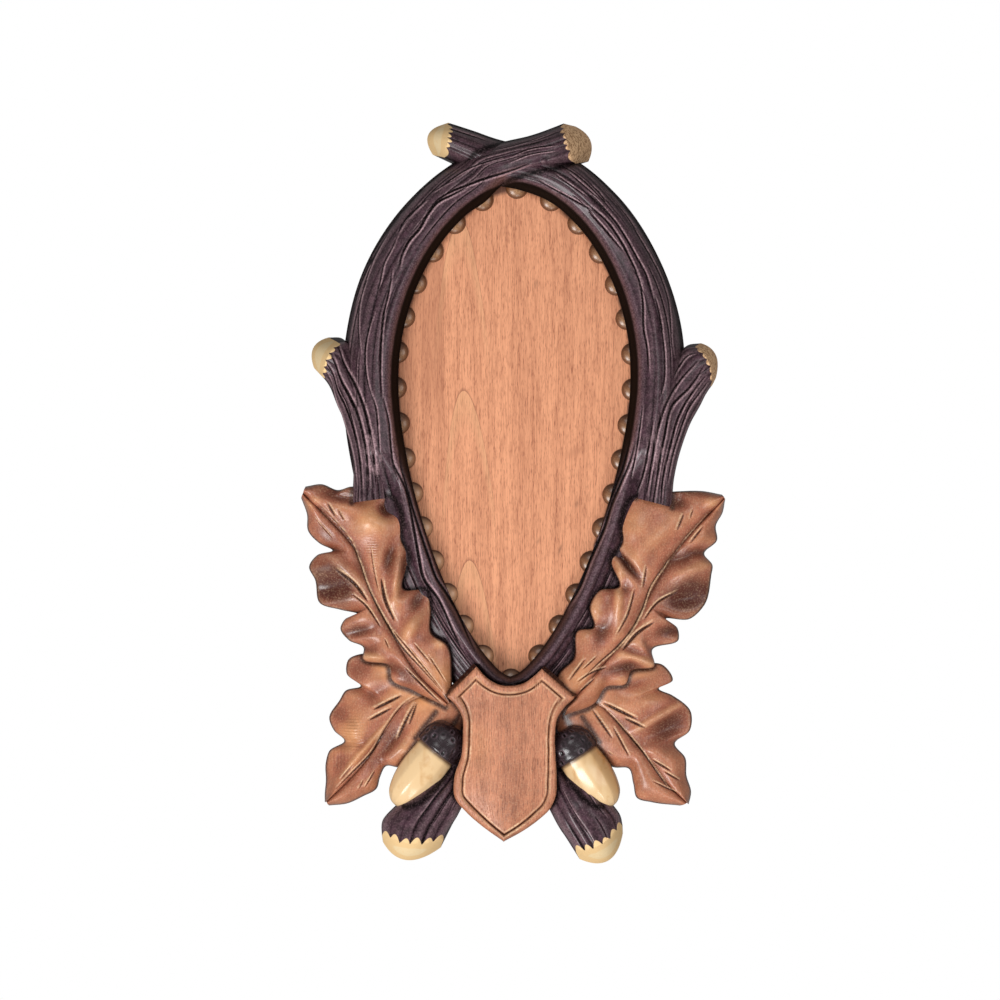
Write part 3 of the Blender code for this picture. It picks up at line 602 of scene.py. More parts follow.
def stain_and_shading():
    """Group: a colour darkened where `groove` is high (pooled stain and painted shade) and lightened where
    `wear_and_highlight` is (bare wood and painted highlight), both speckled.
    """
    group, given, put = new_group("stain_and_shading", [("Wood", "NodeSocketColor", (1, 1, 1, 1)),
                                                    ("Pooled_and_shade", "NodeSocketColor", (0, 0, 0, 1)),
                                                    ("Bare_and_highlight", "NodeSocketColor", (1, 1, 1, 1)),
                                                    ("Speckle", "NodeSocketFloat", 0.3)],
                                  [("Color", "NodeSocketColor")])
    place = add_node(group, "ShaderNodeTexCoord").outputs["Object"]
    dots = cloud(group, place, 1500.0, 3.0)
    patches = cloud(group, place, 190.0, 3.0)
    groove, wear_and_highlight = carved_value(group, "groove"), carved_value(group, "wear_and_highlight")
    pooled_and_shade = mix_colour(group, groove, given.outputs["Wood"], given.outputs["Pooled_and_shade"])
    rubbed = math_node(group, "MULTIPLY", wear_and_highlight, steps(group, dots, 0.35, 0.6, 0.35, 1.0), clamp=True)
    bared_and_lit = mix_colour(group, rubbed, pooled_and_shade, given.outputs["Bare_and_highlight"])
    spots = math_node(group, "MULTIPLY", steps(group, dots, 0.5, 0.72), given.outputs["Speckle"])
    spotted = mix_colour(group, spots, bared_and_lit, given.outputs["Bare_and_highlight"])
    shade = math_node(group, "MULTIPLY", steps(group, patches, 0.42, 0.68), given.outputs["Speckle"])
    group.links.new(mix_colour(group, shade, spotted, given.outputs["Pooled_and_shade"]), put.inputs["Color"])
    return group


GRAIN = board_grain()
STAIN_AND_SHADING = stain_and_shading()


def grain_of(tree, light, dark, strength):
    """The board grain group placed in a material with its own colours."""
    made = tree.nodes.new("ShaderNodeGroup")
    made.node_tree = GRAIN
    for name, value in (("Light", light), ("Dark", dark), ("Strength", strength)):
        made.inputs[name].default_value = value
    return made


def stain_and_shading_of(tree, wood, pooled_and_shade, bare_and_highlight, speckle):
    """The stain-and-shading group placed in a material; `wood` is a link or a colour."""
    made = tree.nodes.new("ShaderNodeGroup")
    made.node_tree = STAIN_AND_SHADING
    if isinstance(wood, bpy.types.NodeSocket):
        tree.links.new(wood, made.inputs["Wood"])
    else:
        made.inputs["Wood"].default_value = wood
    for name, value in (("Pooled_and_shade", pooled_and_shade), ("Bare_and_highlight", bare_and_highlight), ("Speckle", speckle)):
        made.inputs[name].default_value = value
    return made.outputs["Color"]


def finish_material(name, build, roughness, coat=0.0, specular=0.5):
    """A material whose Principled BSDF takes colour, roughness and bump height from build(tree)."""
    made = bpy.data.materials.new(name)
    made.use_nodes = True
    tree = made.node_tree
    shader = tree.nodes["Principled BSDF"]
    colour, rough, height, bump = build(tree)
    tree.links.new(colour, shader.inputs["Base Color"])
    if rough is None:
        shader.inputs["Roughness"].default_value = roughness
    else:
        tree.links.new(rough, shader.inputs["Roughness"])
    if coat:
        shader.inputs["Coat Weight"].default_value = coat
        shader.inputs["Coat Roughness"].default_value = COAT_ROUGHNESS
    shader.inputs["Specular IOR Level"].default_value = specular
    raised = add_node(tree, "ShaderNodeBump", [("Strength", bump), ("Distance", BUMP_DISTANCE),
                                              ("Height", height)])
    tree.links.new(raised.outputs[0], shader.inputs["Normal"])
    return made


RAW_BACK = stain(205, 160, 118)
RAW_BACK_GRAIN = stain(160, 112, 78)
COAT_ROUGHNESS = 0.25
BUMP_DISTANCE = 0.0003


def over_back(tree, colour):
    """Raw board wood on the back, where the attribute `back` is 1, and the given colour elsewhere."""
    raw = grain_of(tree, RAW_BACK, RAW_BACK_GRAIN, 0.7).outputs["Color"]
    return mix_colour(tree, carved_value(tree, "back"), colour, raw)


print("node groups:", GRAIN.name, "and", STAIN_AND_SHADING.name)

# %% [markdown]
# ## Bark and saw cuts
# One material serves a whole stem, bark and saw cut alike, because the stain stops in a ragged line that
# no edge of the mesh could follow as finely. The attribute `bark` holds the distance in millimetres from
# that line, positive on the bark. The cut shows faint growth rings, from the attribute `ring`, the
# distance from the pith. The attribute `shadow` keeps the wall beside the opening dark and dull.

# %% The bark material
# The bark's darkest colour paints pooled stain and shade, and its bare colour bared wood and highlight.
BARK = stain(46, 25, 33)
BARK_LIGHT = stain(78, 50, 62)
BARK_POOLED_AND_SHADE = stain(13, 7, 8)
BARK_BARE_AND_HIGHLIGHT = stain(200, 164, 170)
BARK_SHADOW = stain(3, 2, 2)
CREAM_CUT = stain(252, 214, 158)
CREAM_RING = stain(250, 200, 130)
CREAM_HEART = stain(255, 230, 184)
TAN_CUT = stain(248, 204, 158)
TAN_RING = stain(150, 106, 72)
TAN_HEART = stain(248, 206, 160)
BARK_EDGE = 0.12
RING_WAVE = 4.2
HEART_OUTER = 5.2
HEART_INNER = 4.2
BARK_POLISH = 0.6
BARK_COAT_ROUGHNESS = 0.26


def bark_material(name, cut_colour, ring_colour, heart_colour, speck_low):
    """Bark stain with a saw cut: the two are mixed where the attribute `bark` passes zero. Painted shade from
    the attribute `shadow` turns the bark near black beside the opening. The bark has a thin polish, which is
    dull in its cuts and in that shade."""
    def build(tree):
        place = add_node(tree, "ShaderNodeTexCoord").outputs["Object"]
        mottle = cloud(tree, place, 420.0, 4.0)
        wood = mix_colour(tree, steps(tree, mottle, 0.40, 0.68), BARK, BARK_LIGHT)
        bark = stain_and_shading_of(tree, wood, BARK_POOLED_AND_SHADE, BARK_BARE_AND_HIGHLIGHT, 0.12)
        shadow = carved_value(tree, "shadow")
        bark = mix_colour(tree, shadow, bark, BARK_SHADOW)
        pith = carved_value(tree, "ring")
        rings = math_node(tree, "SINE", math_node(tree, "MULTIPLY", pith, RING_WAVE))
        specks = cloud(tree, place, 900.0, 2.0)
        share = math_node(tree, "ADD", steps(tree, rings, 0.2, 1.0, 0.0, 0.16),
                          steps(tree, specks, speck_low, speck_low + 0.12, 0.0, 0.7), clamp=True)
        near_pith = steps(tree, pith, HEART_OUTER, HEART_INNER, 0.0, 0.75)
        heart = mix_colour(tree, near_pith, cut_colour, heart_colour)
        cut = mix_colour(tree, share, heart, ring_colour)
        on_bark = steps(tree, carved_value(tree, "bark"), -BARK_EDGE, BARK_EDGE)
        colour = over_back(tree, mix_colour(tree, on_bark, cut, bark))
        shader = tree.nodes["Principled BSDF"]
        polish = math_node(tree, "MULTIPLY", steps(tree, shadow, 1.0, 0.0, 0.0, BARK_POLISH), on_bark)
        dull = steps(tree, carved_value(tree, "groove"), 0.0, 1.0, 1.0, 0.1)
        polish = math_node(tree, "MULTIPLY", polish, dull)
        tree.links.new(polish, shader.inputs["Coat Weight"])
        shader.inputs["Coat Roughness"].default_value = BARK_COAT_ROUGHNESS
        return colour, None, mottle, 0.25
    return finish_material(name, build, 0.6, specular=0.06)


# The tan cut goes on the cuts that face right, away from the key light; its darker rings and heart and denser
# specks are partly painted shade.
bark_cream = bark_material("bark_and_cream_cut", CREAM_CUT, CREAM_RING, CREAM_HEART, 0.66)
bark_tan = bark_material("bark_and_tan_cut", TAN_CUT, TAN_RING, TAN_HEART, 0.46)
print("materials:", bark_cream.name, "and", bark_tan.name)

# %% [markdown]
# ## Stems: branches, twigs and stubs
# A stem is a strip between two drawn edges. Its section rises from the edges to a crest. The bark on it
# is a set of ridges that run the length of the stem and wander together, like a lock of hair. To make
# them wander together, the share across the stem is bent by noise once, and every ridge is drawn on the
# bent share. Over them go the listed gouge cuts. The saw cut at the first end
# leans back, so that it shows. Where pieces overlap, their backs lie in planes a hair apart, because two
# surfaces in one plane flicker against each other.

# %% Bark relief along a flow
BLACK_DEPTH = 0.40


def bark_relief(share, across, width, length, seed, ridges, swell_height, cut_count, smooth_inside):
    """Height of the bark in mm. The flow is the share across, bent by noise. Between neighbouring ridge
    lines the surface swells as |sin|^0.7, and each cut is a lens-shaped V at one value of the flow."""
    s, a, w = share[:, None], across[None, :], width[:, None]
    run = s * length
    flow = a + 0.045 * noise(run / 42, a * 1.2, seed) + 0.008 * noise(run / 16, a * 2.6, seed + 1)
    phase = np.interp(flow, ridges, np.arange(len(ridges)))
    swell = np.abs(np.sin(np.pi * phase)) ** 0.7
    quiet = smooth_step(smooth_inside - 0.05, smooth_inside + 0.08, a)
    strength = np.clip(0.55 + 0.75 * noise(run / 24, phase * 0.9, seed + 2), 0, 1) * quiet
    height = swell_height * strength * (swell - 0.75)
    draw = np.random.default_rng(seed + 3)
    depth, burr = np.zeros(height.shape), np.zeros(height.shape)
    for _ in range(cut_count):
        centre = draw.uniform(smooth_inside + 0.04, 0.95)
        start, reach = draw.uniform(-4, length - 4), draw.uniform(14, 50)
        half_width, deep = draw.uniform(0.30, 0.55), draw.uniform(0.30, 0.75)
        t = (run - start) / reach
        lens = np.sqrt(np.clip(4 * t * (1 - t), 0, 1))
        beside = (flow - centre) * w
        wedge = np.clip(1 - np.abs(beside) / (half_width * lens + 0.001), 0, 1)
        depth = np.maximum(depth, deep * lens * wedge)
        burr = np.maximum(burr, lens * np.exp(-((beside - 1.1 * half_width) / (0.4 * half_width)) ** 2)
                          * draw.uniform(0.2, 0.9))
    valley = (1 - swell) ** 2 * strength
    return height - depth, np.clip(depth / BLACK_DEPTH + valley, 0, 1), burr, swell


print("a cut is black from a depth of", BLACK_DEPTH, "mm")

# %% Building a stem
WALL_ROWS = 12
BACK_STEP = 3
WALL_BULGE = 1.2
STEM_BURR = 0.12
PAST_RIM = 9.0
LEAST_THICKNESS = 1.0
BACK_LIFT = {"left_branch": 0.0, "right_branch": 0.05, "left_twig": 0.10, "right_twig": 0.10,
             "left_stub": 0.10, "right_stub": 0.15, "shield": 0.20, "left_upper_leaf": 0.0,
             "right_upper_leaf": 0.0, "left_lower_leaf": 0.05, "right_lower_leaf": 0.05}


def rebate(plan, front, lift):
    """Depth of the back: the panel's rebate where the plan is within it, and `lift` elsewhere."""
    inside = opening_gap(plan) < PANEL_OVERLAP + CLEARANCE
    return np.clip(np.where(inside, REBATE_DEPTH, lift), 0, front - LEAST_THICKNESS)


def carve_stem(name, grid, height, section, bark, seed, material, end, undercut, shaded_side=0.0, knots=(),
               gouges=(), flecks=(), above=()):
    """A stem from its rows in the template, on a grid of stations and columns. section(share, across) is the
    plain depth as a share of `height`, `bark` and `seed` are what bark_relief needs, and `end` holds the saw
    cut's slant, its dome, the run over which both fade, and its teeth. The front is the section and the
    knots, plus the bark's ridges and burrs, less the gouge cuts."""
    share, across = np.linspace(0, 1, grid[0]), np.linspace(0, 1, grid[1])
    edges = curve_through(STEMS[name], share)
    outer, inner = edges[:, :2], edges[:, 2:]
    plan = inner[:, None] + (outer - inner)[:, None] * across[None, :, None]
    width = np.linalg.norm(outer - inner, axis=1)
    middle = (outer + inner) / 2
    along = np.gradient(middle, axis=0)
    length = np.linalg.norm(along, axis=1).sum()
    along /= np.linalg.norm(along, axis=1)[:, None]
    carving, groove, burr, swell = bark_relief(share, across, width, length, seed, **bark)
    cut, rubbed = gouge_cuts(plan, gouges)
    front = height * section(share[:, None], across[None, :]) + mounds(plan, knots)
    quiet = 1 - smooth_step(0.0, 0.4, cut)
    front += carving * quiet - cut + STEM_BURR * np.maximum(burr, rubbed)
    fade = np.clip(1 - share / end["run"], 0, 1)[:, None]
    dome = end["dome"] * 4 * across * (1 - across)
    shift = (end["slant"] * height * front / front.max() - dome) * fade
    front_plan = plan + shift[..., None] * along[:, None]
    inset = np.minimum(undercut, width / 4) / width
    back_plan = inner[:, None] + (outer - inner)[:, None] * (across * (1 - inset[:, None]))[..., None]
    back = rebate(back_plan, front, BACK_LIFT[name])
    back_plan = back_plan - (dome * fade)[..., None] * along[:, None]
    front_sheet = np.dstack([front_plan[..., 0], front, front_plan[..., 1]])
    back_sheet = np.dstack([back_plan[..., 0], back, back_plan[..., 1]])
    sheets = cushion(front_sheet, back_sheet, WALL_ROWS, BACK_STEP)
    rows_down = np.linspace(0, 1, sheets[3].shape[1])[None, :]
    bulge = WALL_BULGE * 4 * rows_down * (1 - rows_down) * (4 * across * (1 - across))[:, None]
    sheets[3][..., 0] -= bulge * along[0, 0]
    sheets[3][..., 2] -= bulge * along[0, 1]
    hollow, crest = hollows_and_crests(front, 3, 0.35)
    # At this broad scale, hollows get painted shade and crests a painted highlight.
    deep, proud = hollows_and_crests(front, 9, 1.1)
    # Painted shade along the stem's outer side, which rounds away from the light.
    outer_shade = shaded_side * smooth_step(0.72, 0.97, across[None, :])
    # Painted shade right beside the pieces that lie on top.
    beside = contact_shade(plan, above)
    groove = np.clip(groove * quiet + cut / BLACK_DEPTH + 0.5 * hollow + 0.5 * deep, 0, 1)
    groove = np.maximum(groove, np.maximum(outer_shade, 0.95 * beside))
    flecked = mounds(plan, flecks) * smooth_step(0.1, 0.5, noise(plan[..., 0] / 0.7, plan[..., 1] / 3.0, 61))
    # Painted highlight along the burrs and on broad crests, bared wood on small crests, and pale flecks.
    edges_lit = np.maximum(0.75 * burr, rubbed) * (1 - smooth_step(0.3, 0.9, groove))
    wear_and_highlight = edges_lit + 0.30 * crest + 0.12 * proud + 0.55 * flecked
    wear_and_highlight = np.clip(wear_and_highlight, 0, 1) * (1 - beside)
    teeth = end["teeth"] * (0.4 - 1.0 * swell[0] - 0.35 * noise(across * 9, 0.5, 91))
    from_rim = (share * length)[:, None]
    down = np.linalg.norm(sheets[3] - sheets[3][:, :1], axis=2)
    pith = np.hypot((across[:, None] - 0.5) * width[0] * 0.62, (rows_down - 0.40) * height)
    # Painted shade on the wall beside the opening, weaker lower down.
    shadow = smooth_step(3.6, 2.6, opening_gap(plan)) * (0.45 + 0.55 * smooth_step(-20, 30, plan[..., 1]))
    dark_wall = 0.35 + 0.65 * shadow
    # The walls get painted shade too: the inner wall from `groove` and `shadow`, the outer wall at least as
    # dark as the stem's shaded side.
    values = {"groove": [groove, 0.4, np.maximum(0.35, outer_shade[:, -1:]), 0.0, 0.4, 0.0],
              "wear_and_highlight": [wear_and_highlight, 0.0, 0.0, 0.0, 0.0, 0.0],
              "shadow": [shadow, dark_wall[:, :1], 0.15, 0.0, 0.0, 0.0],
              "bark": [teeth + from_rim, teeth[:1] + from_rim, teeth[-1:] + from_rim, teeth[:, None] - down,
                       PAST_RIM, PAST_RIM],
              "ring": [PAST_RIM, PAST_RIM, PAST_RIM, pith, PAST_RIM, PAST_RIM],
              "back": [0.0, 0.0, 0.0, 0.0, 0.0, 1.0]}
    add_piece(name, sheets, values, material, "carved_surround")


print("stems have walls of", WALL_ROWS, "rows")

# %% [markdown]
# ## The listed gouge cuts
# Most of what the eye follows on the branches is a score of long cuts on each side. They run with the
# branch, part where the twig leaves it, and gather again beside the opening in two black grooves. Each
# one is a list of points, a half width and a depth. Drawn from the top down, a cut carries its bright
# burr towards the opening on the left branch and towards the outside on the right one.

# %% The gouge cuts on the branches and twigs
CROSSING_CUTS = [([(25, 151), (10.5, 148), (0, 144)], 0.45, 0.6),
                 ([(-3, 144), (-18.5, 139), (-34, 129)], 0.45, 0.6),
                 ([(24, 148.5), (12, 146), (-1, 141.5)], 0.4, 0.5),
                 ([(10.5, 141.7), (0, 138.2), (-16, 133), (-32.5, 125), (-37, 120)], 0.7, 1.1),
                 ([(21, 155.9), (3, 149.4), (-8, 147)], 0.4, 0.45)]
LEFT_CUTS = CROSSING_CUTS + [
    ([(-34.5, 134), (-44, 126.5), (-49, 119)], 0.45, 0.6), ([(-25, 134), (-29, 132), (-34, 129)], 0.4, 0.5),
    ([(-36.5, 126), (-41, 122), (-46, 117), (-49, 111.5)], 0.7, 1.1),
    ([(-49, 111), (-51.5, 105), (-55, 98), (-56.5, 91), (-58.5, 83.5)], 0.5, 0.6),
    ([(-18.5, 131.5), (-25, 128), (-32.5, 124), (-36.5, 119), (-39.5, 113.5), (-44.5, 107.5), (-47, 102.5),
      (-49, 95)], 0.8, 1.3),
    ([(-52, 114.5), (-56, 107.5), (-58.7, 102.5), (-63, 91), (-65.6, 80.5), (-66, 70.5), (-65, 59)],
     0.5, 0.7),
    ([(-59.5, 105.5), (-61.5, 98), (-64.5, 91), (-68, 80.5)], 0.4, 0.5),
    ([(-51.5, 96), (-53, 85.5), (-55, 77), (-56, 67), (-56.5, 53.5), (-56, 40)], 0.6, 0.9),
    ([(-59, 78), (-61.5, 70), (-63, 60.5), (-62.5, 50.5), (-60, 40)], 0.5, 0.7),
    ([(-61, 44), (-58.5, 37), (-57.5, 27), (-57, 17)], 0.5, 0.7),
    ([(-55.5, 41.5), (-53, 31), (-52, 20), (-51, 12), (-48.5, 4.5)], 0.6, 0.9),
    ([(-52.5, 22), (-51, 13), (-46.2, 2.8), (-43.6, -7.5), (-41.9, -17.3), (-40.2, -27), (-38.3, -36),
      (-32, -45), (-25.3, -59.6), (-21.7, -67.3)], 0.85, 1.5),
    ([(-48.8, 17), (-47.9, 11), (-45.4, 2.8), (-42.8, -6.7), (-39.3, -17.8), (-35.7, -28.4), (-32.9, -36),
      (-28.3, -43.2), (-23.9, -50.7), (-20, -59.6), (-16, -68)], 0.8, 1.4)]
LEFT_TWIG_CUTS = [
    ([(-80, 66), (-72, 55), (-64, 38), (-60, 20), (-58.5, 4)], 0.8, 1.3),
    ([(-82, 62), (-75, 51), (-67.5, 37), (-63, 20), (-61.5, 2)], 0.85, 1.4),
    ([(-84, 58.5), (-77.2, 48), (-70.5, 35), (-66, 18), (-64.5, 0)], 0.7, 1.2),
    ([(-85.3, 55.5), (-79, 44.5), (-73, 31), (-68.5, 15), (-67, 2)], 0.6, 1.0)]
RIGHT_CUTS = [
    ([(18, 136.5), (32, 126.5)], 0.45, 0.6), ([(23, 138), (37.5, 125.5)], 0.45, 0.6),
    ([(10.5, 134), (34, 121)], 0.5, 0.7),
    ([(43, 125), (49, 118.5), (54, 110), (59, 101.5), (63.5, 92.5), (66.5, 83), (67.5, 74.5), (68, 64),
      (69, 57.5)], 0.5, 0.8),
    ([(33.5, 132), (37.5, 128), (40, 124)], 0.5, 0.6),
    ([(31.5, 129), (37.5, 123), (44, 116), (48.5, 109), (52.7, 101.5), (57, 93.5), (60, 83)], 0.6, 0.95),
    ([(32.5, 123), (40, 116.5), (45.5, 109), (50.5, 99.5), (55, 89.5)], 0.7, 1.1),
    ([(32.5, 120.5), (37.5, 115), (43, 108.5), (47, 103.5)], 0.55, 0.9),
    ([(50.5, 97), (53.5, 92), (55.5, 83), (56, 70.5), (57.5, 61.5), (58, 51)], 0.6, 0.9),
    ([(62, 79), (64, 68), (65, 57.5), (64.5, 46.5), (62.5, 40)], 0.5, 0.7),
    ([(52.7, 23), (50.5, 14.4), (47, 5.8), (43.2, -2.8), (39, -15.7), (33.3, -28.6), (28.2, -41.5),
      (22.6, -50)], 0.85, 1.5),
    ([(50.5, 23), (47, 10), (42.8, -0.6), (36.3, -17.8), (31.2, -28.6), (26, -39.3), (21.3, -48), (16, -57)],
     0.8, 1.4)]
RIGHT_TRUNK_CUTS = [
    ([(55.5, 38), (54.8, 31.5), (52.2, 14.5), (50.5, 6)], 0.5, 0.8),
    ([(60, 31.5), (58.3, 21), (55.3, 6), (53, -0.5)], 0.6, 0.9),
    ([(80.5, 58), (72, 49), (65.5, 38), (62, 27.5), (59, 10), (57, -1.5)], 0.7, 1.1),
    ([(80.5, 61.5), (76.5, 60.5), (72, 55.5), (68.5, 49)], 0.5, 0.8),
    ([(83, 55.5), (76.5, 46.5), (68.5, 38), (64.7, 23), (61.7, 6), (60, -5)], 0.75, 1.2),
    ([(84.5, 52), (77.5, 44), (71.5, 34), (67.7, 21), (64.3, 6), (63.4, -5)], 0.7, 1.1),
    ([(86, 49.5), (76.3, 38), (72, 27.5), (68.6, 16.5), (66, 3.5)], 0.6, 0.9)]
print(len(LEFT_CUTS) + len(LEFT_TWIG_CUTS) + len(RIGHT_CUTS) + len(RIGHT_TRUNK_CUTS), "cuts drawn")

# %% [markdown]
# ## The two branches
# Each branch starts at its saw cut above the ring, on the far side, crosses the other one over the middle
# and comes down its own side of the opening. The left one passes over. Beside the opening its wall drops
# steeply to a thin lip over the panel's beads. Lower down, where the leaves overlap it, the branch sinks.

# %% The left and right branches
BRANCH_HEIGHT = 27.0
LIP_THICKNESS = 3.0
CUT_SLANT = 0.40


def branch_section(crossing):
    """A branch's depth as a share of its height: wall, shoulder and crest, lower beside the leaves, and
    raised by `crossing` where the two branches cross."""
    places = [0.0, 0.10, 0.20, 0.45, 0.70, 0.88, 1.0]
    lip = (REBATE_DEPTH + LIP_THICKNESS) / BRANCH_HEIGHT
    upper = [lip, 0.78, 0.93, 1.0, 0.93, 0.72, 0.40]
    lower = [lip, 0.74, 0.80, 0.63, 0.57, 0.50, 0.40]

    def section(share, across):
        down = smooth_step(0.58, 0.65, share)
        top = profile(places, upper, across) + crossing * smooth_step(0.22, 0.08, share)
        return (1 - down) * top + down * profile(places, lower, across)
    return section


BRANCH_GRID = (600, 80)
BRANCH_UNDERCUT = 2.0
BRANCH_BARK = {"ridges": [-0.30, -0.05, 0.27, 0.42, 0.56, 0.71, 0.84, 0.97, 1.2], "swell_height": 0.5,
               "cut_count": 22, "smooth_inside": 0.26}
BRANCH_END = {"slant": CUT_SLANT, "dome": 4.0, "run": 0.12, "teeth": 2.6}
LEFT_KNOT = [(17, 143, 3.0, 2.0, 15, -0.5), (17, 143, 1.2, 0.9, 15, 0.9)]
RIGHT_RIDGE = [(59.5, 58, 20, 1.8, 88, 0.5)]
LEFT_FLECK = (-60, 18, 4, 13, 0, 1.0)
RIGHT_FLECK = (62, 22, 5, 13, 0, 0.8)
carve_stem("left_branch", BRANCH_GRID, BRANCH_HEIGHT, branch_section(0.04), BRANCH_BARK, 11, bark_tan,
           BRANCH_END, BRANCH_UNDERCUT, shaded_side=0.65, knots=LEFT_KNOT, gouges=LEFT_CUTS + LEFT_TWIG_CUTS,
           flecks=[LEFT_FLECK], above=["left_upper_leaf", "shield"])
carve_stem("right_branch", BRANCH_GRID, BRANCH_HEIGHT, branch_section(-0.10), BRANCH_BARK, 23, bark_cream,
           BRANCH_END, BRANCH_UNDERCUT, shaded_side=0.85, knots=RIGHT_RIDGE,
           gouges=RIGHT_CUTS + RIGHT_TRUNK_CUTS, flecks=[RIGHT_FLECK],
           above=["right_upper_leaf", "shield", "crossing"])

# %% [markdown]
# ## Twigs and stubs
# Two short twigs leave the ring above the leaves, and the sawn feet of both branches stick out below the
# shield. They are round, so their section is half an ellipse on a straight wall, and their deep gouge
# cuts run off the sawn edge and leave it notched.

# %% Twigs and stubs
TWIG_HEIGHT = 22.0
STUB_HEIGHT = 23.0
RIGHT_TWIG_SLANT = 0.24
TWIG_EDGE = 0.62
STUB_EDGE = 0.45
STUB_SINK = 0.45


def round_section(edge, sink):
    """A half-round section that stands on `edge` of the height, sinking by `sink` away from the cut end:
    edge + (1 - edge) * sqrt(4 a (1 - a)), where a is the share across."""
    def section(share, across):
        bulge = edge + (1 - edge) * np.sqrt(np.clip(4 * across * (1 - across), 0, 1))
        return bulge * (1 - sink * smooth_step(0.25, 0.65, share))
    return section


TWIG_GRID = (200, 64)
STUB_GRID = (190, 76)
ROUND_UNDERCUT = 1.5
TWIG_BARK = {"ridges": [-0.2, 0.02, 0.20, 0.38, 0.56, 0.73, 0.90, 1.1], "swell_height": 0.9,
             "cut_count": 3, "smooth_inside": 0.0}
STUB_BARK = {"ridges": [-0.2, 0.03, 0.19, 0.33, 0.50, 0.66, 0.83, 0.97, 1.2], "swell_height": 1.7,
             "cut_count": 8, "smooth_inside": 0.0}
LEFT_TWIG_END = {"slant": CUT_SLANT, "dome": 4.0, "run": 0.6, "teeth": 2.6}
RIGHT_TWIG_END = {"slant": RIGHT_TWIG_SLANT, "dome": 4.0, "run": 0.6, "teeth": 1.6}
STUB_END = {"slant": CUT_SLANT, "dome": 7.0, "run": 0.35, "teeth": 3.4}
TWIG_FOOT = [(-64.5, -3.5, 3.0, 4.0, 0, 2.2)]
twig_section = round_section(TWIG_EDGE, 0.0)
stub_section = round_section(STUB_EDGE, STUB_SINK)
carve_stem("left_twig", TWIG_GRID, TWIG_HEIGHT, twig_section, TWIG_BARK, 31, bark_cream, LEFT_TWIG_END,
           ROUND_UNDERCUT, shaded_side=0.2, gouges=LEFT_TWIG_CUTS, knots=TWIG_FOOT, flecks=[LEFT_FLECK])
carve_stem("right_twig", TWIG_GRID, TWIG_HEIGHT, twig_section, TWIG_BARK, 32, bark_tan, RIGHT_TWIG_END,
           ROUND_UNDERCUT, shaded_side=0.3, gouges=RIGHT_TRUNK_CUTS, flecks=[RIGHT_FLECK])
for side, seed in (("left", 41), ("right", 42)):
    carve_stem(side + "_stub", STUB_GRID, STUB_HEIGHT, stub_section, STUB_BARK, seed, bark_cream, STUB_END,
               ROUND_UNDERCUT, shaded_side=0.3, above=["shield", side + "_acorn"])

# %% [markdown]
# ## Oak leaves
# A leaf is drawn as a carver marks it out: the midrib first, then the two lobed edges. Straight rulings
# from the midrib to both edges cover it with a grid. Over the plain leaf go soft mounds and hollows, one
# or two to a lobe, so that it seems to curl, and then the veins, cut with a small V gouge. The lower
# leaves lie under the upper ones and keep some paler wood near the stalk.

# %% The leaf material
# The leaves' darkest colour paints pooled stain and shade, and their bare colour bared wood and highlight.
LEAF = stain(190, 114, 86)
LEAF_GRAIN = stain(126, 66, 46)
LEAF_POOLED_AND_SHADE = stain(60, 24, 14)
LEAF_BARE_AND_HIGHLIGHT = stain(255, 214, 172)
LEAF_PALE = stain(236, 164, 108)
LEAF_DARK = stain(92, 36, 20)


def leaf_colours(tree, light, grain, strength):
    """Copper stain over board grain, paler where the attribute `tone` is above zero and darker below it.
    `tone` holds real paler and darker wood and also painted light and painted shade.
    """
    board = grain_of(tree, light, grain, strength)
    tone = carved_value(tree, "tone")
    paler = mix_colour(tree, steps(tree, tone, 0.0, 1.0), board.outputs["Color"], LEAF_PALE)
    darker = mix_colour(tree, steps(tree, tone, 0.0, -1.0), paler, LEAF_DARK)
    colour = stain_and_shading_of(tree, darker, LEAF_POOLED_AND_SHADE, LEAF_BARE_AND_HIGHLIGHT, 0.2)
    return over_back(tree, colour), board.outputs["Height"]


def leaf_build(tree):
    """The leaves' colour, a satin roughness that varies with the grain, and a fine bump."""
    colour, height = leaf_colours(tree, LEAF, LEAF_GRAIN, 0.55)
    return colour, steps(tree, height, 0.0, 1.0, 0.42, 0.30), height, 0.45


copper_leaf = finish_material("copper_leaf_stain", leaf_build, 0.4, coat=0.5, specular=0.35)
print("material:", copper_leaf.name)

# %% Building a leaf
LEAF_HEIGHT = 19.0
LEAF_RELIEF = 2.6
LEAF_BACK_GAP = 3.0
LEAF_UNDERCUT = 2.0
LEAF_STATIONS = 300
LEAF_COLUMNS = 117
LEAF_WALL_ROWS = 7
LEAF_BACK_STEP = 4
LEAF_BURR = 0.22
RIPPLE_HEIGHT = 0.10
EDGE_ROUNDING = 0.9
EDGE_STAIN_AND_SHADE = 0.72
BOLDNESS = 1.9


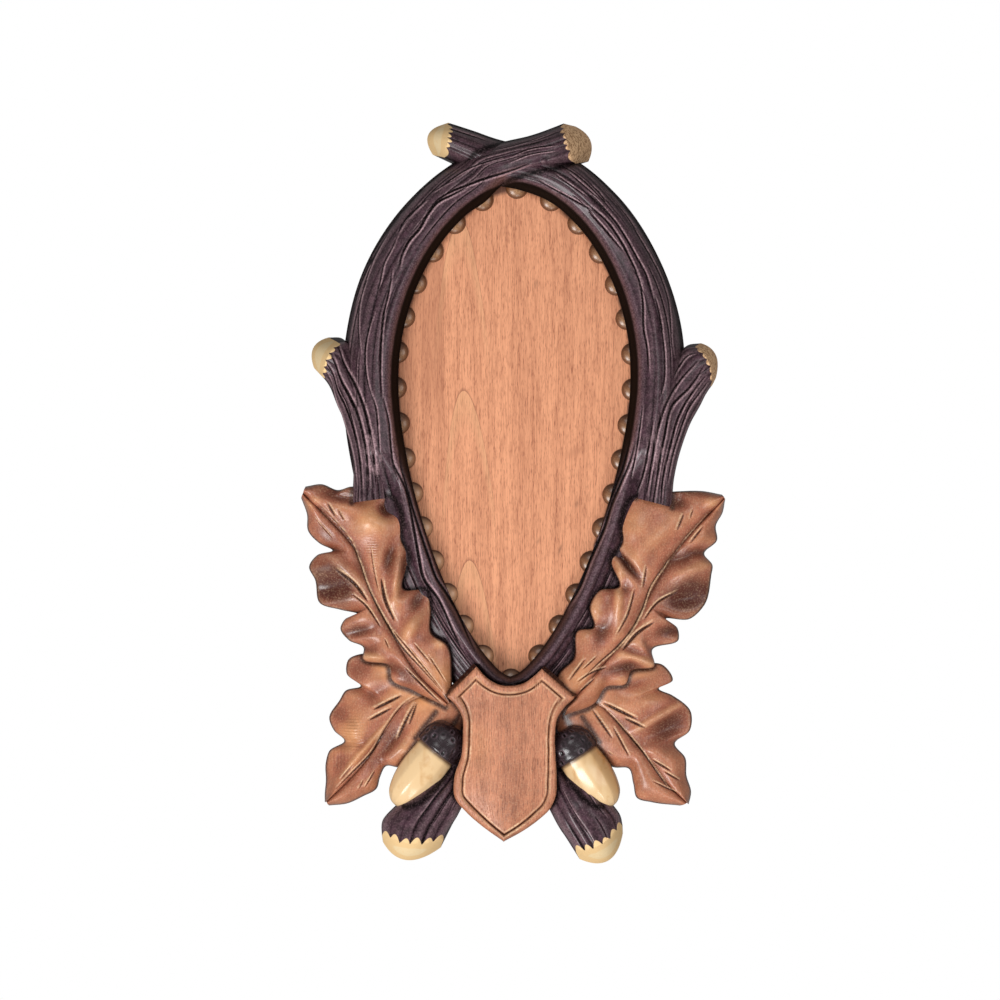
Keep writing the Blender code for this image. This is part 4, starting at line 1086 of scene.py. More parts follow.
def carve_leaf(name, depths, swellings, veins, tone_and_shade_patches, above, ripples=()):
    """A leaf on a grid of rulings from inner edge to midrib to outer edge. The front is the stalk-to-tip
    slope, plus each edge's rise, plus a crown that is highest half way to the edge, plus mounds, less the
    cuts. Ripples are short sine waves left by the gouge, and the last millimetre rounds down to the edge."""
    midrib, outer, inner = (LEAVES[name][part] for part in ("midrib", "outer", "inner"))
    dense = np.linspace(0, 1, 800)
    travel = sum(np.linalg.norm(np.diff(leaf_edge(edge, dense), axis=0), axis=1) for edge in (outer, inner))
    run = np.r_[0.0, np.cumsum(travel)]
    share = np.interp(np.linspace(0, 1, LEAF_STATIONS), run / run[-1], dense)
    middle = curve_through(midrib, share)
    across = np.linspace(-1, 1, LEAF_COLUMNS)
    far = np.abs(across)[None, :]
    on_inner = across[None, :, None] < 0
    ends = np.where(on_inner, leaf_edge(inner, share)[:, None], leaf_edge(outer, share)[:, None])
    plan = middle[:, None] + (ends - middle[:, None]) * far[..., None]
    reach = np.linalg.norm(ends - middle[:, None], axis=2)
    notch = np.clip(1 - reach / (0.75 * reach.max(axis=0)), 0, 1)
    stalk, tip, inner_rise, outer_rise = depths
    plain = LEAF_HEIGHT * (stalk + (tip - stalk) * share[:, None])
    plain = plain + np.where(across[None, :] < 0, inner_rise, outer_rise) * far
    crown = LEAF_RELIEF * (np.sin(np.pi * far ** 0.8) - 0.9 * far ** 3 - notch * far)
    depth, burr = gouge_cuts(plan, veins)
    front = plain + crown + BOLDNESS * mounds(plan, swellings) - depth + LEAF_BURR * burr
    for x, z, long, short, turn, pitch in ripples:
        angle = np.radians(turn)
        wave = ((plan[..., 0] - x) * np.cos(angle) + (plan[..., 1] - z) * np.sin(angle)) / pitch
        front += RIPPLE_HEIGHT * np.sin(2 * np.pi * wave) * mounds(plan, [(x, z, long, short, turn, 1.0)])
    from_edge = (1 - far) * reach
    front -= EDGE_ROUNDING * (1 - smooth_step(0.0, 1.1, from_edge)) ** 2
    inset = 1 - LEAF_UNDERCUT / np.maximum(reach, 3 * LEAF_UNDERCUT)
    back_plan = middle[:, None] + (ends - middle[:, None]) * (far * inset)[..., None]
    back = np.maximum(LEAF_BACK_GAP + BACK_LIFT[name], rebate(back_plan, front, 0.0))
    sheets = cushion(np.dstack([plan[..., 0], front, plan[..., 1]]),
                     np.dstack([back_plan[..., 0], back, back_plan[..., 1]]),
                     LEAF_WALL_ROWS, LEAF_BACK_STEP)
    hollow, crest = hollows_and_crests(front, 3, 0.4)
    # At this broad scale, hollows get painted shade and crests a painted highlight.
    deep, proud = hollows_and_crests(front, 14, 1.2)
    # Painted shade right beside the pieces that lie on top.
    beside = contact_shade(plan, above)
    groove = 0.85 * smooth_step(0.15, 0.6, depth) + 0.40 * hollow + 0.25 * deep
    # Darker within a millimetre of the edge: stain on the rounded edge and painted shade.
    groove = groove + 0.6 * smooth_step(1.2, 0.1, from_edge)
    groove = np.clip(np.maximum(groove, 0.95 * beside), 0, 1)
    lit_side = burr * (1 - smooth_step(0.15, 0.4, depth))
    wear_and_highlight = np.clip(lit_side + 0.25 * crest + 0.10 * proud, 0, 1) * (from_edge > 0.5)
    # The listed patches hold some real paler and darker wood, and painted shade in hollows and painted light
    # on domes; broad hollows then get more painted shade and broad crests painted light.
    tone = np.clip(mounds(plan, tone_and_shade_patches), -1, 1)
    tone = np.clip(tone + (0.55 * proud - 0.75 * deep) * (1 - np.abs(tone)), -1, 1)
    # The leaf's walls are darkened with stain and painted shade.
    values = {"groove": [groove, EDGE_STAIN_AND_SHADE, EDGE_STAIN_AND_SHADE, EDGE_STAIN_AND_SHADE, EDGE_STAIN_AND_SHADE, 0.0],
              "wear_and_highlight": [wear_and_highlight * (1 - beside), 0.0, 0.0, 0.0, 0.0, 0.0],
              "tone": [tone, 0.0, 0.0, 0.0, 0.0, 0.0],
              "back": [0.0, 0.0, 0.0, 0.0, 0.0, 1.0]}
    add_piece(name, sheets, values, copper_leaf, "carved_surround")


print("a leaf has", LEAF_STATIONS, "by", LEAF_COLUMNS, "points")

# %% [markdown]
# ### The upper left leaf
# It hangs from the shield's shoulder up to the twig. Its lobes are cupped by turns: the second one on the
# outside is a dark hollow under a long vein, and those on the inside twist like ribbons over the branch.

# %% The upper left leaf
carve_leaf(
    "left_upper_leaf",
    depths=(0.95, 0.80, 3.0, -1.0),
    swellings=[(-60.3, -12, 7.5, 5.5, 20, 1.4), (-53.5, -6.5, 4.5, 4.0, 0, -1.9),
               (-78.5, -41, 8, 5.5, 20, -2.0), (-70.5, -33.5, 12, 2.6, -41, 1.1),
               (-53, -27.5, 6.5, 2.6, 75, -1.4), (-49.3, -35.5, 10, 2.2, 83, 1.5),
               (-46.2, -31, 7, 1.8, 80, -1.0), (-40.5, -45, 7, 3.4, 65, -1.3),
               (-43.5, -57.5, 7, 2.8, 60, 1.2),
               (-31, -63, 3.2, 3.2, 0, 1.0), (-79, -18, 8, 3.6, -40, -1.0), (-66, -59, 7, 3, 10, -1.3),
               (-60.3, -70.5, 8, 2.0, -12, 1.3), (-48, -77, 8, 3.4, -42, -1.3),
               (-74, -1.5, 9, 2.6, -10, -1.4), (-86, -4, 4, 3, 40, 0.8)],
    veins=[([(-86, -2), (-76, -12), (-69, -21), (-65.5, -30), (-62, -40), (-55, -54), (-48, -65), (-39, -75),
             (-29, -86)], 0.38, 0.6),
           ([(-66, -28), (-62, -40), (-55, -54), (-48, -65), (-39, -75), (-29, -86)], 0.55, 0.8),
           ([(-53, -57), (-46, -65), (-40.5, -71.5), (-29.5, -85)], 0.45, 0.7),
           ([(-76, -32.5), (-68, -38.5), (-62, -46.5)], 0.95, 1.25),
           ([(-69, -43), (-63.5, -47.5), (-56.5, -57.5)], 0.6, 0.9),
           ([(-56.5, -36), (-54.5, -46), (-50.5, -55)], 0.95, 1.3),
           ([(-61, -22), (-59.5, -32.5), (-57.5, -42)], 0.40, 0.55),
           ([(-79.5, -4), (-76, -10)], 0.7, 0.8),
           ([(-75, -6.5), (-72, -12)], 0.45, 0.6),
           ([(-85.5, -10), (-77.5, -19)], 0.35, 0.35),
           ([(-55, -62), (-53, -66.5)], 0.45, 0.6),
           ([(-42.5, -64), (-35, -73)], 0.5, 0.6),
           ([(-46.5, -74.5), (-38, -83), (-30, -91)], 0.6, 0.8),
           ([(-36.5, -68.5), (-28.5, -81)], 0.45, 0.6)],
    tone_and_shade_patches=[(-60, -12, 8, 6, 20, 0.5), (-53.5, -6.5, 5, 4, 0, -0.6), (-77, -38.5, 11, 9, -30, -1.7),
           (-66, -36, 10, 5, -50, 0.35), (-31, -78, 8, 5, -50, 0.6), (-50, -28, 9, 4, 75, -0.5),
           (-40, -45, 7, 4, 65, -0.4), (-75, 1, 12, 2.5, -5, -0.8), (-66, -59, 9, 4, 10, -0.6),
           (-46, -78, 9, 4, -42, -0.6), (-79, -19, 9, 4, -40, -0.35)],
    above=["shield", "left_twig"], ripples=[(-60, -24, 5.5, 3.5, 90, 1.1)])

# %% [markdown]
# ### The upper right leaf
# It mirrors the left one only roughly, as two leaves cut by hand do. Its top is broad and smooth, and its
# inner lobe is folded over itself beside the branch.

# %% The upper right leaf
carve_leaf(
    "right_upper_leaf",
    depths=(0.95, 0.80, 3.0, -1.0),
    swellings=[(53, -14, 8, 7, 60, 0.8), (48.5, -29.5, 8, 1.7, -50, -2.0), (45.5, -40, 12, 2.0, 88, 1.3),
               (74, -27, 8, 3, 25, -1.2), (77, -33, 8, 2.8, 20, 1.1), (75, -44.5, 9, 4.6, 12, -2.1),
               (67, -59, 7, 3.4, 10, -1.3), (57, -72.5, 8, 2.0, -22, 1.3), (46, -75, 8, 3, 15, -1.4),
               (51.5, -67.5, 6, 2.4, -20, -0.9), (35, -49.5, 8, 3.4, 80, 1.2), (38.5, -60, 7, 4, 60, -1.2),
               (71, -3.5, 5, 4, 0, -1.4), (86, -4, 4, 3, 0, 0.8), (60, -20, 12, 4, 45, 0.6)],
    veins=[([(84, -7.5), (74, -19), (65.5, -30.5), (59.5, -39), (55, -51), (51.5, -57.5), (44.5, -66),
             (37, -72.5), (27.5, -82)], 0.38, 0.6),
           ([(65.5, -30.5), (59.5, -39), (55, -51), (51.5, -57.5), (44.5, -66), (37, -72.5), (27.5, -82)],
            0.55, 0.8),
           ([(76, -21.5), (82, -14)], 0.75, 0.7),
           ([(70.5, -16), (73.5, -8.5)], 0.65, 0.8),
           ([(76, -11), (77.5, -6.5)], 0.45, 0.6),
           ([(56, -40.5), (57.5, -30.5)], 0.65, 0.7),
           ([(44.5, -61), (49.5, -51.5), (52.5, -40.5)], 0.6, 0.85),
           ([(56, -54.5), (62.5, -46.5), (71, -42)], 0.65, 0.9),
           ([(47, -67.5), (54, -59.5), (61, -55)], 0.95, 1.2),
           ([(24, -80.5), (31.5, -70.5)], 0.7, 0.7),
           ([(30, -75.5), (36.5, -69.5)], 0.5, 0.6),
           ([(27.5, -81), (33.5, -77), (40.5, -74.5)], 0.6, 0.8),
           ([(29, -85), (35.5, -79)], 0.55, 0.7)],
    tone_and_shade_patches=[(50, -12, 9, 7, 60, 0.25), (49, -31, 8, 2, -50, -0.7), (76, -44, 12, 7.5, 12, -1.6),
           (74, -27, 8, 3.5, 25, -0.6), (47, -75, 8, 3, 10, -0.6), (28, -79, 8, 5, 50, 0.5),
           (75, 1, 14, 2.5, 0, -0.8), (38, -60, 6, 4, 60, -0.5), (67, -60, 8, 4, 10, -0.6)],
    above=["shield", "right_twig"])

# %% [markdown]
# ### The lower leaves
# They lie deeper than the upper ones. The right one ends in a deep cup with a crisp rim.

# %% The lower leaves
carve_leaf(
    "left_lower_leaf",
    depths=(0.64, 0.60, 0.5, -1.0),
    swellings=[(-69, -105.5, 8, 4.5, 60, 1.0), (-75, -95, 5, 5, 0, -0.9), (-74, -114, 8, 3.6, 70, -1.0),
               (-55, -110.5, 13, 3.2, 50, -1.7), (-61, -107, 16, 1.5, 48, 1.1), (-46.5, -109.5, 6, 4, 0, 0.6),
               (-58.5, -86, 8, 4, 30, -0.9), (-66, -75, 6, 5, 20, -0.5)],
    veins=[([(-76, -127), (-69, -120), (-60, -110.5), (-55, -101.5), (-46, -90), (-40.5, -86.5)], 0.6, 0.85),
           ([(-60, -93), (-47, -86.5)], 0.9, 1.1),
           ([(-62, -97.5), (-51.5, -92)], 0.8, 0.9),
           ([(-49.5, -106), (-46, -98), (-41.5, -89.5)], 0.8, 0.9),
           ([(-44.5, -99.5), (-41, -90)], 0.7, 0.9),
           ([(-66, -127), (-64, -123)], 0.45, 0.5),
           ([(-63.5, -126.5), (-59, -119)], 0.5, 0.6),
           ([(-74, -123), (-68, -116)], 0.6, 0.5),
           ([(-44, -117), (-38, -110)], 0.9, 1.0)],
    tone_and_shade_patches=[(-70, -104, 8, 6, 50, 0.7), (-36, -88, 9, 6, 20, 1.0), (-54, -76, 6, 4, -30, 0.9),
           (-47, -86, 8, 5, 0, 0.5), (-55, -110.5, 12, 4, 50, -0.5), (-68, -78, 8, 6, 0, -0.35),
           (-40, -105, 8, 8, 0, 0.2)],
    above=["left_upper_leaf", "left_acorn", "left_stub", "shield"],
    ripples=[(-69, -103, 7, 5, 90, 1.3), (-75, -114, 6, 5, 0, 1.5)])

carve_leaf(
    "right_lower_leaf",
    depths=(0.64, 0.62, 0.5, -1.0),
    swellings=[(67.5, -101, 11, 5.6, 28, -2.7), (63, -96, 12, 2.0, 30, 1.2), (52, -81, 7, 3, 20, -0.7),
               (58, -88, 9, 4, 10, 0.8), (42, -98, 9, 5, -50, 0.6), (66, -122, 8, 4, -50, -0.6),
               (60, -110, 6, 3, 0, 0.6)],
    veins=[([(37, -90), (46.5, -100), (55, -110), (61.5, -119), (68, -128.5)], 0.5, 0.7),
           ([(39, -90), (53.5, -97)], 0.9, 1.1),
           ([(48, -96.5), (57.5, -101)], 0.75, 0.9),
           ([(34, -92.5), (43, -105.5)], 0.75, 0.9),
           ([(43, -100), (50, -113)], 0.65, 0.8),
           ([(60, -114.5), (68.5, -119.5)], 0.65, 0.8),
           ([(65, -119.5), (72, -123.5)], 0.6, 0.7),
           ([(60, -123.5), (71, -129)], 0.55, 0.6),
           ([(41, -111), (43, -112.5)], 0.4, 0.4)],
    tone_and_shade_patches=[(67, -101, 11, 6, 28, -0.75), (33, -90, 8, 5, 0, 0.6), (54, -78, 7, 3, 10, 0.6),
           (45, -92, 8, 5, 0, 0.3)],
    above=["right_upper_leaf", "right_acorn", "right_stub", "shield"])

# %% [markdown]
# ## The shield
# The small shield stands proud over the stalks. Its border is set off by a V line that follows the
# outline at an even distance, so the shield's grid is measured against its own outline: rim, line and
# field are all functions of one number, the distance from the edge.

# %% The shield
SHIELD_HEIGHT = 25.5
SHIELD_RIM = 1.2
SHIELD_WOOD = stain(222, 148, 112)
SHIELD_GRAIN = stain(136, 78, 54)
SHOULDER_LEAN = 1.7
SHIELD_COLUMNS = 157
SHIELD_ROWS = 201
SHIELD_WALL_ROWS = 13
SHIELD_BACK_STEP = 4
LINE_DEPTH = 0.9
LINE_HALF_WIDTH = 0.50
RIM_HEIGHTS = [-149, -144, -136, -124, -110, -96, -90, -82]
RIM_WIDTHS = [2.4, 2.8, 3.6, 3.8, 2.8, 2.8, 3.6, 3.8]


def shield_build(tree):
    """The shield's slightly paler stain, with the same wear, painted highlight and painted shade as the
    leaves.
    """
    colour, height = leaf_colours(tree, SHIELD_WOOD, SHIELD_GRAIN, 0.75)
    return colour, steps(tree, height, 0.0, 1.0, 0.44, 0.34), height, 0.3


shield_stain = finish_material("shield_stain", shield_build, 0.42, specular=0.45)


def lean_out(sheet, top):
    """Pushes the walls under the two shoulders outwards, so that they show as a dark band from the front. The
    push grows over the first 3.5 mm below the rim and fades away from the shoulders."""
    plan = sheet[..., [0, 2]]
    left_corner, left_peak, right_peak, right_corner = np.array(SHIELD_CORNERS, float)
    below = smooth_step(0.0, 3.5, top - sheet[..., 1])
    for start, end in ((left_corner, left_peak), (right_peak, right_corner)):
        along = (end - start) / np.linalg.norm(end - start)
        outwards = np.array([-along[1], along[0]])
        line = start + (end - start) * np.linspace(0, 1, 40)[:, None]
        near = smooth_step(2.6, 0.2, distance_to(plan, line))
        push = (SHOULDER_LEAN * near * below)[..., None] * outwards
        sheet[..., 0] += push[..., 0]
        sheet[..., 2] += push[..., 1]


def carve_shield():
    """Rows from the left edge to the right one, bent by the top edge's own shape, which fades downwards. The
    field is a low crown; past the V line the rim rises and rounds over to the edge."""
    columns, down = np.linspace(0, 1, SHIELD_COLUMNS), np.linspace(0, 1, SHIELD_ROWS)
    top = shield_top(len(columns))
    left, right = curve_through(SHIELD_LEFT, down), curve_through(SHIELD_RIGHT, down)
    straight = top[0] + (top[-1] - top[0]) * columns[:, None]
    bend = (top - straight)[None] * ((1 - down) ** 1.5)[:, None, None]
    plan = left[:, None] + (right - left)[:, None] * columns[None, :, None] + bend
    from_edge = distance_to(plan, OUTLINES["shield"])
    z = plan[..., 1]
    rim_width = np.interp(z, RIM_HEIGHTS, RIM_WIDTHS)
    rim = smooth_step(rim_width, 0.6 * rim_width, from_edge)
    line = np.clip(1 - np.abs(from_edge - rim_width) / LINE_HALF_WIDTH, 0, 1)
    past_line = from_edge - rim_width
    bright = np.exp(-((past_line - 0.80) / 0.30) ** 2) + np.exp(-((past_line + 0.80) / 0.35) ** 2)
    crown = 1 - 0.12 * (2 * columns[None, :] - 1) ** 2 - 0.10 * down[:, None] ** 2
    front = SHIELD_HEIGHT * crown + SHIELD_RIM * rim - LINE_DEPTH * line
    front -= 1.0 * (1 - smooth_step(0.0, 1.3, from_edge)) ** 2
    back = rebate(plan, front, BACK_LIFT["shield"])
    sheets = cushion(np.dstack([plan[..., 0], front, plan[..., 1]]),
                     np.dstack([plan[..., 0], back, plan[..., 1]]), SHIELD_WALL_ROWS, SHIELD_BACK_STEP)
    for sheet in sheets[1:]:
        lean_out(sheet, SHIELD_HEIGHT * 0.9)
    uneven = 0.6 + 0.4 * noise(plan[..., 0] / 5, z / 5, 5)
    # The bright lines beside the V line are bared wood; the extra brightness on the lower right is a painted
    # highlight, where the rim catches the light.
    lit_lower_right = smooth_step(-110, -140, z) * smooth_step(-5, 5, plan[..., 0])
    groove = np.clip(line * 1.2 + 0.5 * smooth_step(0.7, 0.0, from_edge), 0, 1)
    wear_and_highlight = np.clip((1.1 + 0.7 * lit_lower_right) * bright * uneven * (1 - line), 0, 1)
    tone = mounds(plan, [(1, -130, 2.2, 22, 0, -0.35), (-10, -92, 12, 6, 0, -0.15), (-26, -90, 4, 4, 0, -0.4),
                         (24, -90, 4, 4, 0, -0.3), (-14, -108, 5, 14, 0, 0.2)])
    # The walls get painted shade, darkest on the top wall, which faces up away from the light, and lightest
    # on the bottom one.
    values = {"groove": [groove, 0.8, 0.75, 0.95, 0.6, 0.0],
              "wear_and_highlight": [wear_and_highlight, 0.0, 0.0, 0.0, 0.0, 0.0],
              "tone": [tone, -0.6, -0.6, -1.0, 0.0, 0.0],
              "back": [0.0, 0.0, 0.0, 0.0, 0.0, 1.0]}
    add_piece("shield", sheets, values, shield_stain, "carved_surround")


carve_shield()

# %% [markdown]
# ## Acorns
# A cap and a nut are turned shapes: a radius that changes along an axis, carried round it. The carver
# then pitted the cap with a small gouge and left the nut with soft flats from the knife.

# %% Acorn materials
NUT_CREAM = stain(244, 208, 158)
NUT_BROWN = stain(206, 150, 86)
CAP_BLACK = stain(40, 28, 32)
CAP_POOLED = stain(10, 6, 8)
CAP_BARE = stain(134, 112, 122)


def nut_build(tree):
    """Cream wood, browner where the attribute `tone` is high and in a few rubbed streaks."""
    place = add_node(tree, "ShaderNodeTexCoord").outputs["Object"]
    patches = cloud(tree, place, 160.0, 5.0)
    rubbed = steps(tree, patches, 0.56, 0.74, 0.0, 0.55)
    share = math_node(tree, "ADD", rubbed, carved_value(tree, "tone"), clamp=True)
    colour = mix_colour(tree, share, NUT_CREAM, NUT_BROWN)
    # Painted shade where the cap overlaps the nut.
    colour = mix_colour(tree, carved_value(tree, "groove"), colour, LEAF_POOLED_AND_SHADE)
    return colour, None, patches, 0.08


def cap_build(tree):
    """Nearly black stain, blacker in the pits and rubbed on the rims between them."""
    place = add_node(tree, "ShaderNodeTexCoord").outputs["Object"]
    return stain_and_shading_of(tree, CAP_BLACK, CAP_POOLED, CAP_BARE, 0.12), None, cloud(tree, place, 700.0, 2.0), 0.3


nut_lacquer = finish_material("nut_lacquer", nut_build, 0.22, coat=0.3)
cap_stain = finish_material("cap_stain", cap_build, 0.26, coat=0.2)
print("materials:", nut_lacquer.name, "and", cap_stain.name)

# %% Turning the acorns
ACORN_DEPTH = 12.5
NUT_SEAT = 3.0
CAP_GRID = (90, 141)
NUT_GRID = (60, 97)


def turned_sheet(profile_points, foot, tip, grid, carve):
    """A closed turned grid: radius and share of the length follow a curve through the profile, from a pole at
    one end to a pole at the other. carve(share, turn) adds to the radius in mm."""
    rows, around = grid
    foot, tip = [np.array([x, ACORN_DEPTH, z], float) for x, z in (foot, tip)]
    axis = tip - foot
    length = np.linalg.norm(axis)
    forward = axis / length
    sideways = np.cross(forward, (0, 1, 0))
    sideways /= np.linalg.norm(sideways)
    third = np.cross(forward, sideways)
    curve = curve_through(np.array(profile_points) * (1, length), np.linspace(0, 1, rows))
    turn = np.linspace(0, 2 * np.pi, around)
    turn[-1] = 0.0
    extra = carve(np.linspace(0, 1, rows)[:, None], turn[None, :])
    radius = curve[:, :1] + extra * np.minimum(1, curve[:, :1] / 3)
    radius[[0, -1]] = 0
    ring = np.cos(turn)[:, None] * sideways + np.sin(turn)[:, None] * third
    return foot + forward * curve[:, None, 1:] + radius[..., None] * ring[None]


def cap_pits(share, turn):
    """Staggered nicks, minus the product of two raised waves broken by noise, and a thick band round the rim,
    with a groove before it."""
    row = share * 9
    wave = np.cos(turn * 12 + np.pi * np.floor(row)) * np.sin(np.pi * (row % 1))
    nicks = np.clip(wave - 0.35, 0, 1) * smooth_step(-0.2, 0.4, noise(turn * 2.2, row * 0.7, 77))
    groove = np.exp(-((share - 0.72) / 0.022) ** 2)
    return -0.8 * nicks * (share < 0.70) - 0.5 * groove + 0.9 * smooth_step(0.73, 0.78, share)


def knife_flats(share, turn):
    """Eleven soft flats round the nut, each lowest in its middle."""
    return -0.22 * np.abs(np.cos(turn * 5.5 + share * 2.0)) ** 0.8


def turn_acorn(side, foot, cap_end, tip):
    """Cap and nut on one axis; the nut starts inside the cap, and painted shade is darkest where they meet.
    """
    toward = np.subtract(foot, cap_end) / np.linalg.norm(np.subtract(foot, cap_end))
    half_cap, half_nut = CAP_DIAMETER / 2, NUT_DIAMETER / 2
    cap_shape = [(0, 0.0), (0.30 * half_cap, 0.0), (0.68 * half_cap, 0.12), (0.90 * half_cap, 0.38),
                 (0.95 * half_cap, 0.70), (0.93 * half_cap, 0.96), (0.84 * half_cap, 1.0), (0, 1.0)]
    cap = turned_sheet(cap_shape, foot, cap_end, CAP_GRID, cap_pits)
    rows, around = CAP_GRID
    relief = cap_pits(np.linspace(0, 1, rows)[:, None], np.linspace(0, 2 * np.pi, around)[None, :])
    hollow, crest = hollows_and_crests(relief, 2, 0.15)
    add_piece(side + "_acorn_cap", [cap], {"groove": [hollow], "wear_and_highlight": [0.8 * crest]}, cap_stain,
              "carved_surround", sharp=70)
    nut_shape = [(0, 0.0), (0.86 * half_nut, 0.0), (half_nut, 0.22), (half_nut, 0.48),
                 (0.90 * half_nut, 0.70), (0.62 * half_nut, 0.90), (0.26 * half_nut, 0.985), (0, 1.0)]
    nut = turned_sheet(nut_shape, np.asarray(cap_end) + NUT_SEAT * toward, tip, NUT_GRID, knife_flats)
    plan = nut[..., [0, 2]]
    sideways = np.array([-toward[1], toward[0]])
    rim_plan = np.asarray(cap_end) + np.outer(np.linspace(-1, 1, 30), sideways) * half_cap * 0.94
    seam_shade = smooth_step(1.8, 0.2, distance_to(plan, rim_plan))
    outer_side = smooth_step(0.1, 0.8, (plan - np.asarray(cap_end)) @ -sideways / half_nut)
    streaked = 0.3 * smooth_step(0.1, 0.9, noise(plan[..., 0] / 1.4, plan[..., 1] / 6, 33))
    tone = streaked + (0.65 * outer_side if side == "right" else 0.0)
    add_piece(side + "_acorn_nut", [nut], {"groove": [0.9 * seam_shade], "tone": [tone]}, nut_lacquer,
              "carved_surround", sharp=70)


for side, points in ACORNS.items():
    turn_acorn(side, *points)

# %% [markdown]
# ## The panel and its beads
# The panel is a flat-sawn board. Its growth rings run out of the surface as nested arches, which
# woodworkers call cathedrals. The attribute `figure` holds which ring a point lies in: the distance from
# the board's heart, drawn out along the grain. The shader turns that one number into darker and lighter
# wood. Only the narrow arches near the heart show, so the attribute `arch` fades the rings beside them.

# %% The panel material
PANEL = stain(250, 174, 130)
PANEL_GRAIN = stain(156, 84, 52)
PANEL_FIGURE = stain(172, 104, 72)
PANEL_LINE = stain(124, 62, 38)
PANEL_LIGHT = stain(240, 184, 134)
# On the beads, the paler colour paints light, the darkest colour paints shade, and the bare colour also
# paints highlight.
BEAD = stain(132, 82, 50)
BEAD_BARE_AND_HIGHLIGHT = stain(244, 190, 136)
BEAD_PALE = stain(236, 176, 132)
BEAD_SHADE = stain(44, 22, 12)
RING_SPACING = 73.0
ARCH_TOP = 44.5
ARCH_MIDDLE = -21.0
ARCH_LEAN = 0.030
ARCH_BEND = 14.0
ARCH_SHARPNESS = 2.45
PANEL_DETAIL = 300
PANEL_RINGS = 64
PANEL_MIDDLE = [0.0, 20.0]
PANEL_BACK_STEP = 9


def panel_build(tree):
    """Straight board grain. A growth ring ends in a thin dark line, and the wood inside it is paler."""
    board = grain_of(tree, PANEL, PANEL_GRAIN, 0.70)
    within = math_node(tree, "FRACT", math_node(tree, "DIVIDE", carved_value(tree, "figure"), RING_SPACING))
    near = carved_value(tree, "arch")
    inside = math_node(tree, "MULTIPLY", steps(tree, within, 0.25, 0.0, 0.0, 0.42), near)
    paler = mix_colour(tree, inside, board.outputs["Color"], PANEL_LIGHT)
    line = math_node(tree, "MULTIPLY", steps(tree, within, 0.975, 1.0, 0.0, 0.6), near)
    ringed = mix_colour(tree, line, paler, PANEL_LINE)
    toned = mix_colour(tree, steps(tree, carved_value(tree, "tone"), 0.0, 1.0), ringed, PANEL_FIGURE)
    # `groove` holds dark specks in the wood and painted shade where the panel runs under the lip.
    knots = mix_colour(tree, carved_value(tree, "groove"), toned, LEAF_POOLED_AND_SHADE)
    height = board.outputs["Height"]
    return over_back(tree, knots), steps(tree, height, 0.0, 1.0, 0.5, 0.42), height, 0.2


def bead_build(tree):
    """Bronze-brown stain, paler on the beads towards the lower left as painted light, with a painted
    highlight on the lower side of each top and painted shade on the upper side and in the crease round the
    foot.
    """
    place = add_node(tree, "ShaderNodeTexCoord").outputs["Object"]
    wood = mix_colour(tree, carved_value(tree, "tone"), BEAD, BEAD_PALE)
    return stain_and_shading_of(tree, wood, BEAD_SHADE, BEAD_BARE_AND_HIGHLIGHT, 0.1), None, cloud(tree, place, 500.0, 2.0), 0.1


panel_wood = finish_material("panel_wood", panel_build, 0.45)
bead_stain = finish_material("bead_stain", bead_build, 0.3, coat=0.4)
print("materials:", panel_wood.name, "and", bead_stain.name)

# %% The panel
edge = opening_outline(PANEL_OVERLAP, PANEL_DETAIL)
edge = np.vstack([edge, edge[:1]])
middle = np.array(PANEL_MIDDLE)
share = np.linspace(0, 1, PANEL_RINGS)[:, None, None]
plan = middle + (edge - middle)[None] * share
flat = np.broadcast_to(PANEL_THICKNESS, plan.shape[:2])
front = np.dstack([plan[..., 0], flat, plan[..., 1]])
rim_and_back = np.stack([np.c_[edge[:, 0], np.full(len(edge), depth), edge[:, 1]]
                         for depth in (PANEL_THICKNESS, PANEL_THICKNESS / 2, 0.0)])
back_plan = plan[::-PANEL_BACK_STEP]
back = np.dstack([back_plan[..., 0], 0 * back_plan[..., 0], back_plan[..., 1]])
back[-1] = [middle[0], 0.0, middle[1]]
x, z = plan[..., 0], plan[..., 1]
drift = ARCH_LEAN * (z - ARCH_TOP) + 0.7 * noise(z / 30, 0.0 * x, 3)
aside = np.abs(x - ARCH_MIDDLE + drift)
flank = 2 * ARCH_BEND * aside - ARCH_BEND ** 2
figure = ARCH_TOP - z - np.where(aside < ARCH_BEND, aside ** 2, flank) / ARCH_SHARPNESS
figure = figure + 0.8 * noise(x / 9, z / 30, 4)
arch = smooth_step(13.0, 8.0, aside)
left_zone = smooth_step(-29.2, -29.8, x) * smooth_step(20, 50, z)
tone = mounds(plan, [(27, 18, 6, 2, 25, 0.4)]) + 0.36 * left_zone + 0.10 * noise(x / 4.5, z / 60, 8)
spots = mounds(plan, [(10, 90, 0.9, 0.9, 0, 0.8), (27.7, -4.5, 1.6, 0.8, 60, 0.5),
                      (11, -20.5, 1.3, 0.7, 40, 0.4), (21, -23.5, 2.2, 0.35, 60, 0.9)])
# Painted shade on the panel where it runs under the lip.
lip_shade = 0.85 * smooth_step(-0.6, 0.2, opening_gap(plan))
add_piece("panel_board", [front, rim_and_back, back],
          {"figure": [figure, 0.0, 0.0], "tone": [tone, 0.0, 0.0], "arch": [arch, 0.0, 0.0],
           "groove": [np.maximum(spots, lip_shade), 0.2, 0.0], "back": [0.0, 0.0, 1.0]},
          panel_wood, "back_panel")

